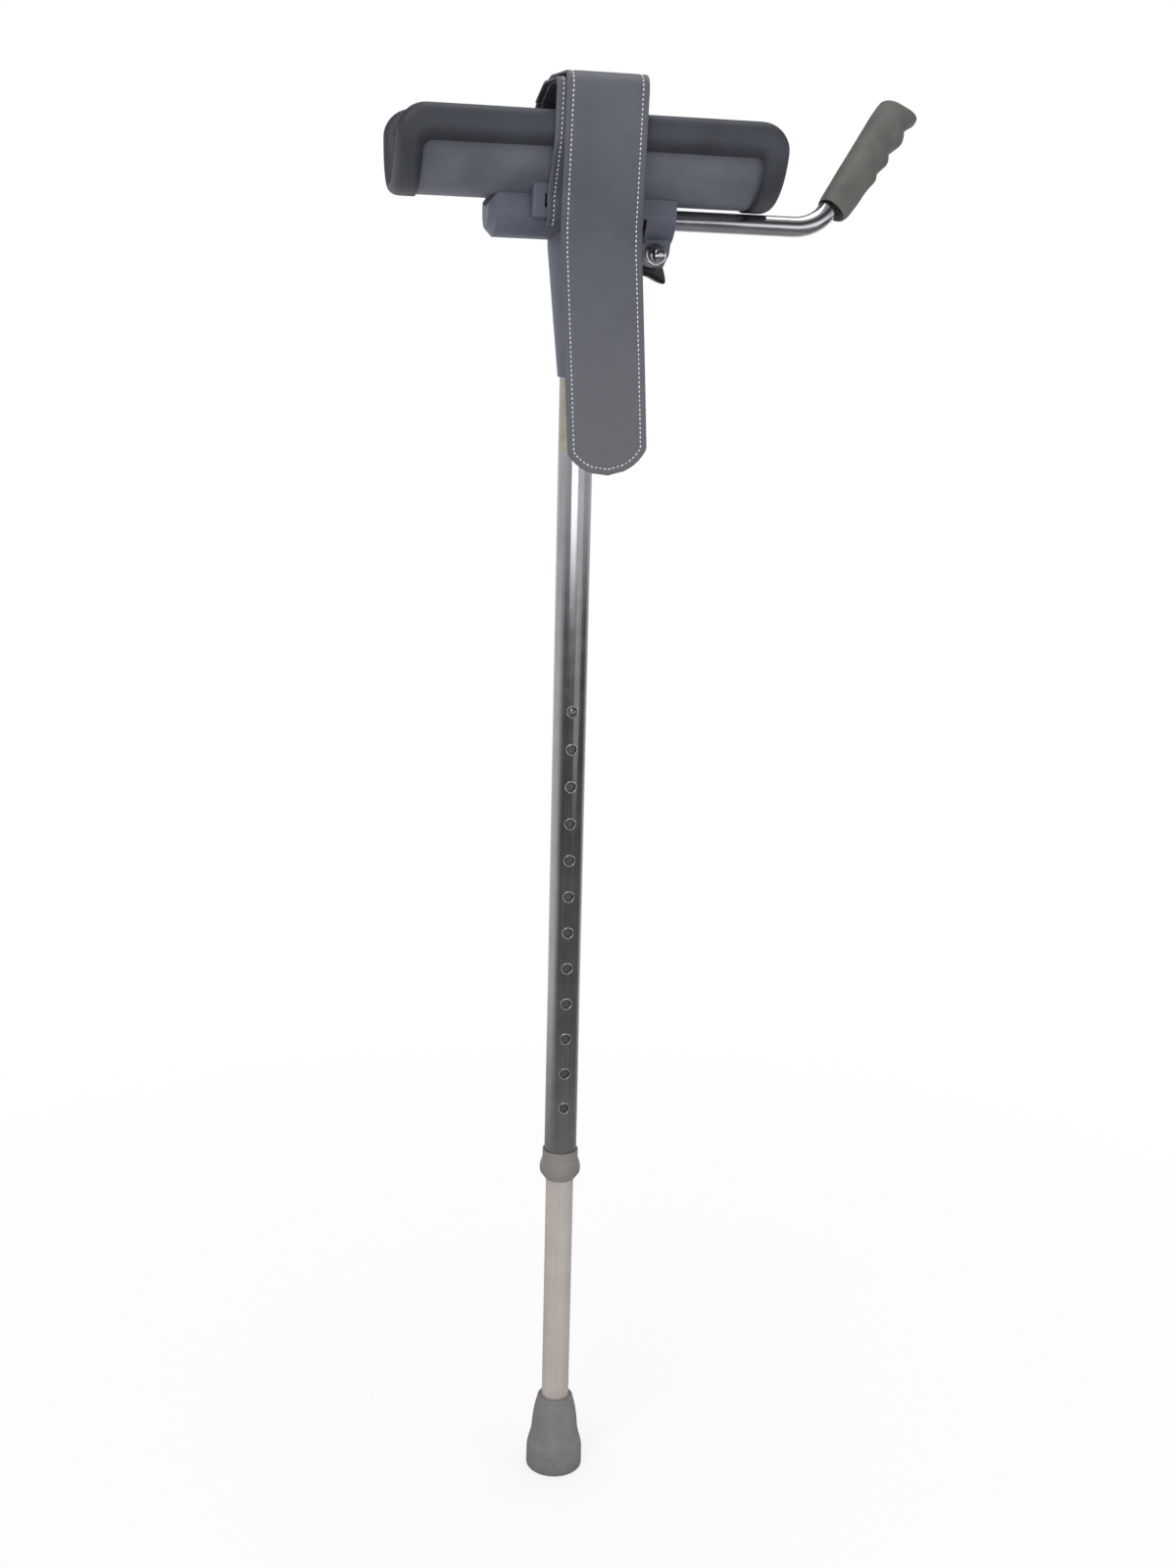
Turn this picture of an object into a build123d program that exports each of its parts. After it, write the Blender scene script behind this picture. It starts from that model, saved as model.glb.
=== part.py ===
from build123d import *
import os
from math import atan2, cos, radians, sin, sqrt, tan

os.makedirs("parts", exist_ok=True)

# Platform crutch at its shortest setting, in millimetres, +Z up.
# The origin is the middle of the padded floor on which the forearm lies.
# X runs to the hand grip and -Y is the side with the adjusting holes.
# Heights in this first part are above the floor; level() turns them into Z.

# Shaft
outer_tube_diameter = 22.2
outer_tube_wall = 1.2
inner_tube_diameter = 19.05
inner_tube_wall = 1.2
hole_pitch = 25.4
hole_count = 12
hole_diameter = 6.8
top_hole_height = 561.0
outer_tube_end_height = 231.5
inner_tube_overlap = 39.0
running_gap = 0.08

# Ferrule
ferrule_height = 56.0
ferrule_base_diameter = 39.8
ferrule_top_diameter = 25.4
ferrule_floor = 12.0
tread_depth = 2.0
washer_thickness = 1.5

# Collar bush
collar_height = 21.5
collar_ledge = 5.5
collar_lip_diameter = 24.6
collar_bulge_diameter = 28.2
collar_foot_diameter = 21.2

# Snap button
button_diameter = 6.3
button_proud = 2.2
clip_width = 7.0
clip_thickness = 0.8
clip_length = 40.0

# Head: heights and stations are taken from the axis of the handle rod
rod_height = 874.4
head_tilt = 1.5
rod_diameter = 12.7
rod_wall = 1.2
barrel_left = -54.2
barrel_right = 57.0
barrel_half_width = 18.0
barrel_depth = 15.1
cap_thickness = 5.6
cap_bevel = 4.6
cap_spigot = 6.0
socket_top_diameter = 40.6
socket_end_diameter = 24.8
socket_length = 98.2
socket_shoulder = 18.4
socket_rim = 9.0
seat_wall = 6.0
tube_fit_gap = 0.1
rivet_diameter = 4.0
rivet_above_end = 29.8
rivet_sink = 0.2

# Strap keepers on both sides of the head
keeper_half_width = 28.0
keeper_left = -34.7
keeper_right = 27.0
keeper_side_gap = 1.0
keeper_cheek = 3.5
keeper_bottom = -1.9
keeper_bar_height = 5.9
keeper_bar_thickness = 4.0
keeper_slot_depth = 3.6
keeper_window_height = 8.0

# Forearm gutter
gutter_floor = 8.0
gutter_radius = 43.0
gutter_wall = 3.0
gutter_wall_top = 56.0
gutter_half_length = 116.0
gutter_corner = 14.0
lining_thickness = 6.0
soft_gap = 0.3
seat_gap = 0.1

# Foam edge roll round the rim and both ends
roll_top = 60.1
roll_band = 20.7
roll_end_band = 16.0
roll_half_length = 120.0
roll_half_width = 46.0
roll_lip = 1.0
roll_inner_lip = 5.7
roll_corner = 18.0
roll_window_corner = 6.0
roll_round = 4.0

# Screws that hold the gutter on the head
screw_stations = (-24.0, 20.0)
screw_angle = 16.8
screw_head_diameter = 9.0
screw_shank_diameter = 4.0
screw_length = 12.0
screw_sink = 0.1
screw_gap = 0.2

# Clamp
lug_left = 40.0
lug_right = 56.8
lug_half_width = 10.0
lug_bottom = -28.8
lug_boss_radius = 8.4
clamp_slot = 3.2
relief_slot = 2.0
bolt_station = 46.6
bolt_level = -21.0
stud_diameter = 6.0
stud_gap = 0.08
lug_hole_gap = 0.3
clamp_washer_diameter = 12.5
clamp_washer_thickness = 1.2
nut_flats = 10.0
nut_thickness = 5.0
knob_radius = 24.0
knob_valley = 15.5
knob_lobes = 3
knob_lobe_angle = -53.0
knob_start = 25.0
knob_thickness = 15.0
knob_hub_diameter = 15.0
stud_in_knob = 11.0

# Handle rod and grip
rod_inner_end = -44.0
bend_start = 137.0
bend_radius = 28.3
grip_angle = 54.3
handle_turn = 27.1
grip_start = 16.9
grip_length = 93.0
rod_short_of_grip_end = 9.0
plug_head = 3.0
plug_spigot = 14.0

# Straps
strap_width = 50.0
strap_thickness = 2.0
strap_top = 82.6
strap_corner = 9.0
strap_drop = 154.8
long_strap_left = -21.2
far_strap_left = -24.0
strap_shift_depth = 30.0
short_strap_left = -26.5
short_strap_width = 48.0
strap_side = 47.6
strap_lean = 5.0
strap_break_level = -13.0
strap_end_depth = 15.0
strap_rim_level = 43.0
strap_knee_level = 10.0
strap_far_drop = 15.6
strap_hang_reach = 46.0
strap_tail = 14.0
sewn_gap = 0.1
short_strap_reach = 30.0
tape_thickness = 0.9
tape_width = 40.0
tape_height = 22.0
tape_station = 0.0
tape_level = 60.0

# Places worked out from the sizes above
outer_radius = outer_tube_diameter / 2
outer_bore = outer_radius - outer_tube_wall
inner_radius = inner_tube_diameter / 2
inner_bore = inner_radius - inner_tube_wall
rod_radius = rod_diameter / 2
rod_bore = rod_radius - rod_wall
gutter_centre = gutter_floor + gutter_radius
socket_end_height = rod_height - socket_length
rivet_height = socket_end_height + rivet_above_end
gutter_inner = gutter_radius - gutter_wall
lining_outer = gutter_inner - soft_gap
lining_inner = lining_outer - lining_thickness
rest_level = gutter_centre - lining_inner
rest_height = rod_height + rest_level / cos(radians(head_tilt))
inner_tube_top_height = top_hole_height + inner_tube_overlap
keeper_bar_top = keeper_bottom + keeper_bar_height
keeper_window_top = keeper_bar_top + keeper_window_height
far_keeper_right = far_strap_left + strap_width + keeper_side_gap + keeper_cheek
keeper_back = keeper_half_width - keeper_bar_thickness - keeper_slot_depth
socket_taper = (socket_top_diameter - socket_end_diameter) / 2 / (socket_length - socket_shoulder)
rivet_seat = socket_end_diameter / 2 + (rivet_above_end - rivet_diameter) * socket_taper - rivet_sink
screw_cone_height = (screw_head_diameter - screw_shank_diameter) / 2
stud_far_end = knob_start + stud_in_knob


def level(height):
    """Z of a height above the floor"""
    return height - rest_height


tilt = radians(head_tilt)
head = Plane(origin=(0, 0, level(rod_height)), x_dir=(cos(tilt), 0, -sin(tilt)), z_dir=(sin(tilt), 0, cos(tilt)))


def across(x):
    """Plane across the head at station x: its own x is +Y and its own y is up the head"""
    return Plane(origin=head.from_local_coords((x, 0, 0)), x_dir=(0, 1, 0), z_dir=head.x_dir)


def beside(y):
    """Plane along the head at depth y, facing -Y: its own x is along the head and its own y is up"""
    return Plane(origin=head.from_local_coords((0, y, 0)), x_dir=head.x_dir, z_dir=(0, -1, 0))


def gutter_underside(y):
    """Height of the gutter's outer face, with the seat gap, at a distance y from the middle"""
    return gutter_centre - sqrt((gutter_radius + seat_gap) ** 2 - y ** 2)


def barrel_profile(half_width=barrel_half_width):
    """U of the barrel, closed at the top by the arc under the gutter"""
    waist = half_width - barrel_depth
    top = gutter_underside(half_width)
    with BuildSketch() as profile:
        with BuildLine():
            Line((-half_width, waist), (-half_width, top))
            ThreePointArc((-half_width, top), (0, gutter_underside(0)), (half_width, top))
            Line((half_width, top), (half_width, waist))
            ThreePointArc((half_width, waist), (0, -barrel_depth), (-half_width, waist))
        make_face()
    return profile.sketch


def gutter_section(radius, top):
    """Outline of a U of this radius round the gutter's axis, open side up"""
    with BuildSketch() as section:
        with BuildLine():
            Polyline((-radius, gutter_centre), (-radius, top), (radius, top), (radius, gutter_centre))
            ThreePointArc((radius, gutter_centre), (0, gutter_centre - radius), (-radius, gutter_centre))
        make_face()
    return section.sketch


def radial(x, angle, radius):
    """Plane square to the gutter's floor at an angle from its middle, facing the gutter's axis"""
    turn = radians(angle)
    place = head.from_local_coords((x, radius * sin(turn), gutter_centre - radius * cos(turn)))
    return Plane(origin=place, x_dir=head.x_dir, z_dir=head.z_dir * cos(turn) - head.y_dir * sin(turn))


def on_bolt(y):
    """Plane square to the clamp bolt at depth y, facing -Y"""
    return Plane(origin=head.from_local_coords((bolt_station, y, bolt_level)), x_dir=head.x_dir, z_dir=(0, -1, 0))


handle_up = head.z_dir * cos(radians(handle_turn)) + head.y_dir * sin(radians(handle_turn))
handle_plane = Plane(origin=head.origin, x_dir=head.x_dir, z_dir=head.x_dir.cross(handle_up))
bend_tangent = bend_radius * tan(radians(grip_angle / 2))
grip_across = cos(radians(grip_angle))
grip_rise = sin(radians(grip_angle))
bend_corner = bend_start + bend_tangent
mouth = handle_plane.from_local_coords((bend_corner + grip_start * grip_across, grip_start * grip_rise, 0))
grip_plane = Plane(origin=mouth, x_dir=handle_plane.x_dir * grip_rise - handle_plane.y_dir * grip_across,
                   z_dir=handle_plane.x_dir * grip_across + handle_plane.y_dir * grip_rise)


# Tubes
with BuildPart() as outer_tube:
    tube_top = rod_height - barrel_depth - seat_wall
    with BuildSketch(Plane.XY.offset(level(outer_tube_end_height))):
        Circle(outer_radius)
        Circle(outer_bore, mode=Mode.SUBTRACT)
    extrude(amount=tube_top - outer_tube_end_height)
    for n in range(hole_count):
        with BuildSketch(Plane.XZ.offset(0)):
            with Locations((0, level(top_hole_height - n * hole_pitch))):
                Circle(hole_diameter / 2)
        extrude(amount=outer_radius + 1, mode=Mode.SUBTRACT)
    with BuildSketch(Plane.XZ):
        with Locations((0, level(rivet_height))):
            Circle(rivet_diameter / 2)
    extrude(amount=outer_radius + 1, both=True, mode=Mode.SUBTRACT)

tube_foot = ferrule_floor + washer_thickness
with BuildPart() as inner_tube:
    with BuildSketch(Plane.XY.offset(level(tube_foot))):
        Circle(inner_radius)
        Circle(inner_bore, mode=Mode.SUBTRACT)
    extrude(amount=inner_tube_top_height - tube_foot)
    with BuildSketch(Plane.XZ):
        with Locations((0, level(top_hole_height))):
            Circle(button_diameter / 2 + tube_fit_gap)
    extrude(amount=inner_radius + 1, mode=Mode.SUBTRACT)

guide_lip = 4.0
with BuildPart() as inner_tube_guide:
    with BuildSketch(Plane.XY.offset(level(inner_tube_top_height))):
        Circle(outer_bore - running_gap)
    extrude(amount=guide_lip)
    with BuildSketch(Plane.XY.offset(level(inner_tube_top_height))):
        Circle(inner_bore - tube_fit_gap)
    extrude(amount=-2.5 * guide_lip)
    with BuildSketch(Plane.XY.offset(level(inner_tube_top_height) - 2.5 * guide_lip)):
        Circle(inner_bore - outer_tube_wall)
    extrude(amount=3 * guide_lip, mode=Mode.SUBTRACT)

# Collar bush: the outer tube stands on its ledge and the inner tube runs through its foot
with BuildPart() as collar_bush:
    foot = level(outer_tube_end_height - collar_ledge)
    lip = foot + collar_height
    with BuildSketch(Plane.XZ):
        with BuildLine():
            Polyline((inner_radius + running_gap, foot), (collar_foot_diameter / 2, foot),
                     (collar_bulge_diameter / 2 - 0.4, foot + 4.4))
            ThreePointArc((collar_bulge_diameter / 2 - 0.4, foot + 4.4),
                          (collar_bulge_diameter / 2, foot + 7.7),
                          (collar_bulge_diameter / 2 - 0.4, foot + 11))
            Polyline((collar_bulge_diameter / 2 - 0.4, foot + 11), (collar_lip_diameter / 2, foot + 15),
                     (collar_lip_diameter / 2, lip), (outer_radius + tube_fit_gap, lip),
                     (outer_radius + tube_fit_gap, foot + collar_ledge),
                     (inner_radius + running_gap, foot + collar_ledge),
                     (inner_radius + running_gap, foot))
        make_face()
    revolve(axis=Axis.Z)
    fillet(collar_bush.edges().filter_by(GeomType.CIRCLE).group_by(Axis.Z)[-1].sort_by(SortBy.RADIUS)[-1], 0.4)

# Rubber ferrule with a ringed tread
with BuildPart() as ferrule:
    base = ferrule_base_diameter / 2
    neck = ferrule_top_diameter / 2
    floor = level(0)
    with BuildSketch(Plane.XZ):
        with BuildLine():
            Polyline((0, floor), (base - 2, floor))
            RadiusArc((base - 2, floor), (base, floor + 2), -2)
            Polyline((base, floor + 2), (base - 0.1, floor + 15))
            Spline((base - 0.1, floor + 15), (base - 1.4, floor + 21.4), (base - 3.0, floor + 27.7),
                   (neck + 3.5, floor + 34), (neck + 1.8, floor + 46.7), (neck, floor + ferrule_height - 2.5))
            RadiusArc((neck, floor + ferrule_height - 2.5), (neck - 1, floor + ferrule_height), -2.6)
            Polyline((neck - 1, floor + ferrule_height), (inner_radius + tube_fit_gap, floor + ferrule_height),
                     (inner_radius + tube_fit_gap, floor + ferrule_floor), (0, floor + ferrule_floor),
                     (0, floor))
        make_face()
    revolve(axis=Axis.Z)
    with BuildSketch(Plane.XY.offset(floor)):
        for radius in (5.0, 10.0, 15.0):
            Circle(radius + 1.2)
            Circle(radius, mode=Mode.SUBTRACT)
    extrude(amount=tread_depth, mode=Mode.SUBTRACT)

with BuildPart() as ferrule_washer:
    with BuildSketch(Plane.XY.offset(level(ferrule_floor))):
        Circle(inner_radius - tube_fit_gap)
        Circle(inner_radius / 2, mode=Mode.SUBTRACT)
    extrude(amount=washer_thickness)

# Snap button on its leaf spring, inside the inner tube
with BuildPart() as button_spring_clip:
    leaf = sqrt(inner_bore ** 2 - (clip_width / 2) ** 2) - 0.2 - clip_thickness / 2
    top = level(top_hole_height)
    with BuildSketch(Plane.YZ.offset(-clip_width / 2)):
        with BuildLine() as clip_path:
            FilletPolyline((-leaf, top + 6), (-leaf, top - 8), (-2.4, top - clip_length + 6),
                           (-2.4, top - clip_length), (2.4, top - clip_length), (2.4, top - clip_length + 6),
                           (leaf, top - 10), (leaf - 1.5, top), radius=1.6)
            offset(amount=clip_thickness / 2, side=Side.BOTH)
        make_face()
    extrude(amount=clip_width)
    with BuildSketch(Plane.XZ):
        with Locations((0, top)):
            Circle(button_diameter / 2)
    dome_edge = outer_radius + button_proud - 1.6
    extrude(amount=dome_edge)
    with BuildSketch(Plane.XZ):
        with Locations((0, top)):
            Circle(button_diameter / 2 + 1)
    extrude(amount=leaf, mode=Mode.SUBTRACT)
    with BuildSketch(Plane.YZ):
        with BuildLine():
            Line((-dome_edge, top), (-dome_edge - 1.6, top))
            RadiusArc((-dome_edge - 1.6, top), (-dome_edge, top + button_diameter / 2), 3.9)
            Line((-dome_edge, top + button_diameter / 2), (-dome_edge, top))
        make_face()
    revolve(axis=Axis((0, 0, top), (0, 1, 0)))

# Head moulding: barrel for the handle rod, saddle under the gutter with the strap keepers,
# tapered socket for the shaft and a split clamp
with BuildPart() as head_moulding:
    with BuildSketch(across(barrel_left)):
        add(barrel_profile())
    extrude(amount=barrel_right - barrel_left)
    for left, right, sides in ((keeper_left, keeper_right, (-keeper_half_width, 0)),
                               (keeper_left, far_keeper_right, (0, keeper_half_width))):
        with BuildSketch(across(left)):
            near, far = sides
            with BuildLine():
                Polyline((near, gutter_underside(near)), (near, keeper_bottom), (far, keeper_bottom),
                         (far, gutter_underside(far)))
                middle = (near + far) / 2
                ThreePointArc((far, gutter_underside(far)), (middle, gutter_underside(middle)),
                              (near, gutter_underside(near)))
            make_face()
        extrude(amount=right - left)
    keeper_edges = head_moulding.edges().filter_by(lambda e: abs(e.tangent_at(0.5).dot(head.z_dir)) > 0.99)
    keeper_corners = keeper_edges.filter_by(lambda e: abs(abs(e.center().Y) - keeper_half_width) < 0.01)
    fillet(keeper_corners, 1.5)
    # The socket stands on the shaft's axis, which the head leans on
    with BuildSketch(Plane.XY.offset(level(socket_end_height))):
        Circle(socket_end_diameter / 2)
    with BuildSketch(Plane.XY.offset(level(rod_height - socket_shoulder))):
        Circle(socket_top_diameter / 2)
    loft(ruled=True)
    with BuildSketch(Plane.XY.offset(level(rod_height - socket_shoulder))):
        Circle(socket_top_diameter / 2)
    extrude(amount=socket_rim)
    # Clamp lugs
    with BuildSketch(beside(-lug_half_width)):
        with BuildLine():
            Polyline((lug_left, 0), (lug_left, bolt_level))
            RadiusArc((lug_left, bolt_level), (lug_left + lug_boss_radius, lug_bottom), -lug_boss_radius)
            Polyline((lug_left + lug_boss_radius, lug_bottom), (lug_right - 5, lug_bottom),
                     (lug_right - 1.5, bolt_level), (lug_right, -8), (lug_right, 0), (lug_left, 0))
        make_face()
    extrude(amount=-2 * lug_half_width)
    with BuildSketch(across(lug_left - relief_slot - 1.5)):
        with Locations((0, (lug_bottom + 1) / 2 - 1)):
            Rectangle(clamp_slot, -lug_bottom)
    extrude(amount=barrel_right - lug_left + relief_slot + 2, mode=Mode.SUBTRACT)
    with BuildSketch(across(lug_left - relief_slot - 1.5)):
        with Locations((0, -barrel_depth)):
            Rectangle(2 * barrel_half_width + 2, 2 * barrel_depth)
    extrude(amount=relief_slot, mode=Mode.SUBTRACT)
    # Bores for the rod, the shaft, the bolt and the rivet
    with BuildSketch(across(barrel_left)):
        Circle(rod_radius + running_gap)
    extrude(amount=barrel_right - barrel_left, mode=Mode.SUBTRACT)
    with BuildSketch(Plane.XY.offset(level(socket_end_height))):
        Circle(outer_radius + tube_fit_gap)
    extrude(amount=tube_top + soft_gap - socket_end_height, mode=Mode.SUBTRACT)
    with BuildSketch(beside(0)):
        with Locations((bolt_station, bolt_level)):
            Circle(stud_diameter / 2 + lug_hole_gap)
    extrude(amount=lug_half_width + 1, both=True, mode=Mode.SUBTRACT)
    with BuildSketch(Plane.XZ):
        with Locations((0, level(rivet_height))):
            Circle(rivet_diameter / 2)
    extrude(amount=socket_top_diameter, both=True, mode=Mode.SUBTRACT)
    for side in (1, -1):
        with BuildSketch(Plane.XZ.offset(side * rivet_seat)):
            with Locations((0, level(rivet_height))):
                Circle(rivet_diameter + 2 * tube_fit_gap)
        extrude(amount=side * rivet_diameter, mode=Mode.SUBTRACT)
    # Keeper slots: a way up behind each bar, and a window above it
    for side, left, width in ((-1, short_strap_left, short_strap_width), (1, far_strap_left, strap_width)):
        with BuildSketch(across(left - keeper_side_gap)):
            with Locations((side * (keeper_back + keeper_slot_depth / 2), (keeper_bottom - 1 + keeper_window_top) / 2)):
                Rectangle(keeper_slot_depth, keeper_window_top - keeper_bottom + 1)
            with Locations((side * (keeper_back + keeper_half_width + 1) / 2, (keeper_bar_top + keeper_window_top) / 2)):
                Rectangle(keeper_half_width - keeper_back + 1, keeper_window_height)
        extrude(amount=width + 2 * keeper_side_gap, mode=Mode.SUBTRACT)

    for station in screw_stations:
        for side in (-1, 1):
            with Locations(radial(station, side * screw_angle, gutter_inner + screw_sink)):
                Cylinder(screw_shank_diameter / 2 + tube_fit_gap / 2, screw_length + 1,
                         align=(Align.CENTER, Align.CENTER, Align.MAX), mode=Mode.SUBTRACT)

# Cap over the rod's inner end
with BuildPart() as barrel_end_cap:
    with BuildSketch(across(barrel_left)):
        add(barrel_profile())
    extrude(amount=-cap_thickness)
    chamfer(barrel_end_cap.faces().sort_by(Axis.X)[0].edges(), cap_bevel)
    with BuildSketch(across(barrel_left)):
        Circle(rod_radius - tube_fit_gap)
    extrude(amount=cap_spigot)

with BuildPart() as socket_rivet:
    with BuildSketch(Plane.XZ.offset(-rivet_seat)):
        with Locations((0, level(rivet_height))):
            Circle(rivet_diameter / 2 - tube_fit_gap / 2)
    extrude(amount=2 * rivet_seat)
    for face, way in ((rivet_seat, 1), (-rivet_seat, -1)):
        with BuildSketch(Plane.XZ.offset(face)):
            with Locations((0, level(rivet_height))):
                Circle(rivet_diameter)
        extrude(amount=way * rivet_diameter * 0.4, taper=30)

# Forearm gutter
with BuildPart() as gutter_shell:
    with BuildSketch(across(-gutter_half_length)):
        add(gutter_section(gutter_radius, gutter_wall_top))
        add(gutter_section(gutter_inner, gutter_wall_top + 1), mode=Mode.SUBTRACT)
    extrude(amount=2 * gutter_half_length)
    with BuildSketch(beside(-2 * gutter_radius)):
        with Locations((0, gutter_wall_top - 50)):
            RectangleRounded(2 * gutter_half_length, 100, gutter_corner)
    extrude(amount=-4 * gutter_radius, mode=Mode.INTERSECT)
    for station in screw_stations:
        for side in (-1, 1):
            with Locations(radial(station, side * screw_angle, gutter_inner + screw_sink)):
                Cone(screw_shank_diameter / 2 + screw_gap, screw_head_diameter / 2 + screw_gap, screw_cone_height,
                     align=(Align.CENTER, Align.CENTER, Align.MAX), mode=Mode.SUBTRACT)
                Cylinder(screw_head_diameter / 2 + screw_gap, 1,
                         align=(Align.CENTER, Align.CENTER, Align.MIN), mode=Mode.SUBTRACT)
                Cylinder(screw_shank_diameter / 2 + screw_gap, gutter_wall + 1,
                         align=(Align.CENTER, Align.CENTER, Align.MAX), mode=Mode.SUBTRACT)

with BuildPart() as gutter_lining:
    lining_half_length = roll_half_length - roll_end_band - 2 * soft_gap
    with BuildSketch(across(-lining_half_length)):
        with Locations((0, gutter_centre)):
            Circle(lining_outer)
            Circle(lining_inner, mode=Mode.SUBTRACT)
    extrude(amount=2 * lining_half_length)
    with BuildSketch(beside(-2 * gutter_radius)):
        with Locations((0, roll_top - roll_band - 2 * soft_gap - 50)):
            RectangleRounded(2 * lining_half_length, 100, roll_window_corner)
    extrude(amount=-4 * gutter_radius, mode=Mode.INTERSECT)
    fillet(gutter_lining.edges(), 1.5)

# Foam edge roll: a band round the rim and both ends, rounded, then hollowed over the shell's edge
with BuildPart() as edge_roll:
    roll_floor = gutter_floor - roll_lip
    with BuildSketch(across(-roll_half_length)):
        with BuildLine():
            Polyline((-roll_half_width, gutter_centre), (-roll_half_width, roll_top),
                     (roll_half_width, roll_top), (roll_half_width, gutter_centre))
            EllipticalCenterArc((0, gutter_centre), roll_half_width, gutter_centre - roll_floor,
                                start_angle=180, arc_size=180)
        make_face()
        add(gutter_section(gutter_inner - roll_inner_lip, roll_top + 1), mode=Mode.SUBTRACT)
    extrude(amount=2 * roll_half_length)
    with BuildSketch(beside(-2 * roll_half_width)):
        with Locations((0, roll_top - 50)):
            RectangleRounded(2 * roll_half_length, 100, roll_corner)
    extrude(amount=-4 * roll_half_width, mode=Mode.INTERSECT)
    with BuildSketch(beside(-2 * roll_half_width)):
        with Locations((0, roll_top - roll_band - 50)):
            RectangleRounded(2 * (roll_half_length - roll_end_band), 100, roll_window_corner)
    extrude(amount=-4 * roll_half_width, mode=Mode.SUBTRACT)
    fillet(edge_roll.edges(), roll_round)
    with BuildSketch(across(-gutter_half_length - soft_gap)):
        add(gutter_section(gutter_radius + soft_gap, gutter_wall_top + soft_gap))
        add(gutter_section(gutter_inner - soft_gap, gutter_wall_top + 1), mode=Mode.SUBTRACT)
    shell_space = extrude(amount=2 * (gutter_half_length + soft_gap), mode=Mode.PRIVATE)
    with BuildSketch(beside(-2 * gutter_radius)):
        with Locations((0, gutter_wall_top + soft_gap - 50)):
            RectangleRounded(2 * (gutter_half_length + soft_gap), 100, gutter_corner)
    shell_outline = extrude(amount=-4 * gutter_radius, mode=Mode.PRIVATE)
    add(shell_space & shell_outline, mode=Mode.SUBTRACT)

with BuildPart() as gutter_screws:
    for station in screw_stations:
        for side in (-1, 1):
            with Locations(radial(station, side * screw_angle, gutter_inner + screw_sink)):
                Cone(screw_shank_diameter / 2, screw_head_diameter / 2, screw_cone_height,
                     align=(Align.CENTER, Align.CENTER, Align.MAX))
                Cylinder(screw_shank_diameter / 2, screw_length, align=(Align.CENTER, Align.CENTER, Align.MAX))

# Clamp hardware
with BuildPart() as clamp_washers:
    for face, way in ((-lug_half_width, 1), (lug_half_width, -1)):
        with BuildSketch(on_bolt(face)):
            Circle(clamp_washer_diameter / 2)
            Circle(stud_diameter / 2 + lug_hole_gap, mode=Mode.SUBTRACT)
        extrude(amount=way * clamp_washer_thickness)

with BuildPart() as dome_nut:
    nut_seat = -lug_half_width - clamp_washer_thickness
    with BuildSketch(on_bolt(nut_seat)):
        RegularPolygon(nut_flats / 2, 6, major_radius=False)
    extrude(amount=nut_thickness)
    chamfer(dome_nut.faces().sort_by(Axis.Y)[0].edges(), 0.6)
    with Locations(on_bolt(nut_seat - nut_thickness)):
        Sphere(nut_flats / 2 - 0.3)
    with BuildSketch(on_bolt(nut_seat)):
        Circle(stud_diameter / 2 + stud_gap)
    extrude(amount=nut_thickness + 1, mode=Mode.SUBTRACT)

with BuildPart() as clamp_knob:
    with BuildSketch(on_bolt(knob_start)) as knob_outline:
        lobe_radius = knob_radius - knob_valley + 1
        with PolarLocations(knob_radius - lobe_radius, knob_lobes, start_angle=knob_lobe_angle):
            Circle(lobe_radius)
        Circle(knob_valley - 1.5)
        fillet(knob_outline.vertices(), 5)
    extrude(amount=-knob_thickness)
    fillet(clamp_knob.edges().filter_by(lambda e: abs(e.tangent_at(0.5).Y) < 0.5), 2.5)
    with BuildSketch(on_bolt(lug_half_width + clamp_washer_thickness + soft_gap)):
        Circle(knob_hub_diameter / 2)
    extrude(amount=-(knob_start - lug_half_width - clamp_washer_thickness - soft_gap + 1))
    with BuildSketch(on_bolt(lug_half_width)):
        Circle(stud_diameter / 2 + tube_fit_gap / 2)
    extrude(amount=-(stud_far_end + tube_fit_gap - lug_half_width), mode=Mode.SUBTRACT)

with BuildPart() as clamp_stud:
    with BuildSketch(on_bolt(nut_seat - nut_thickness)):
        Circle(stud_diameter / 2)
    extrude(amount=-(stud_far_end - nut_seat + nut_thickness))
    chamfer(clamp_stud.edges().sort_by(Axis.Y)[0], 0.6)

# Handle: a bent tube with a moulded grip, and a plug in the tube's inner end
with BuildPart() as handle_rod:
    rod_reach = grip_start + grip_length - rod_short_of_grip_end
    with BuildLine(handle_plane) as rod_path:
        Line((rod_inner_end, 0), (bend_start, 0))
        JernArc((bend_start, 0), (1, 0), bend_radius, grip_angle)
        Line((bend_start + bend_radius * grip_rise, bend_radius - bend_radius * grip_across),
             (bend_corner + rod_reach * grip_across, rod_reach * grip_rise))
    with BuildSketch(across(rod_inner_end)):
        Circle(rod_radius)
        Circle(rod_bore, mode=Mode.SUBTRACT)
    sweep(path=rod_path.wires()[0])

with BuildPart() as rod_end_plug:
    with BuildSketch(across(rod_inner_end)):
        Circle(rod_radius)
    extrude(amount=-plug_head)
    fillet(rod_end_plug.edges().sort_by(Axis.X)[0], 1)
    with BuildSketch(across(rod_inner_end)):
        Circle(rod_bore - running_gap)
    extrude(amount=plug_spigot)

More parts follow.
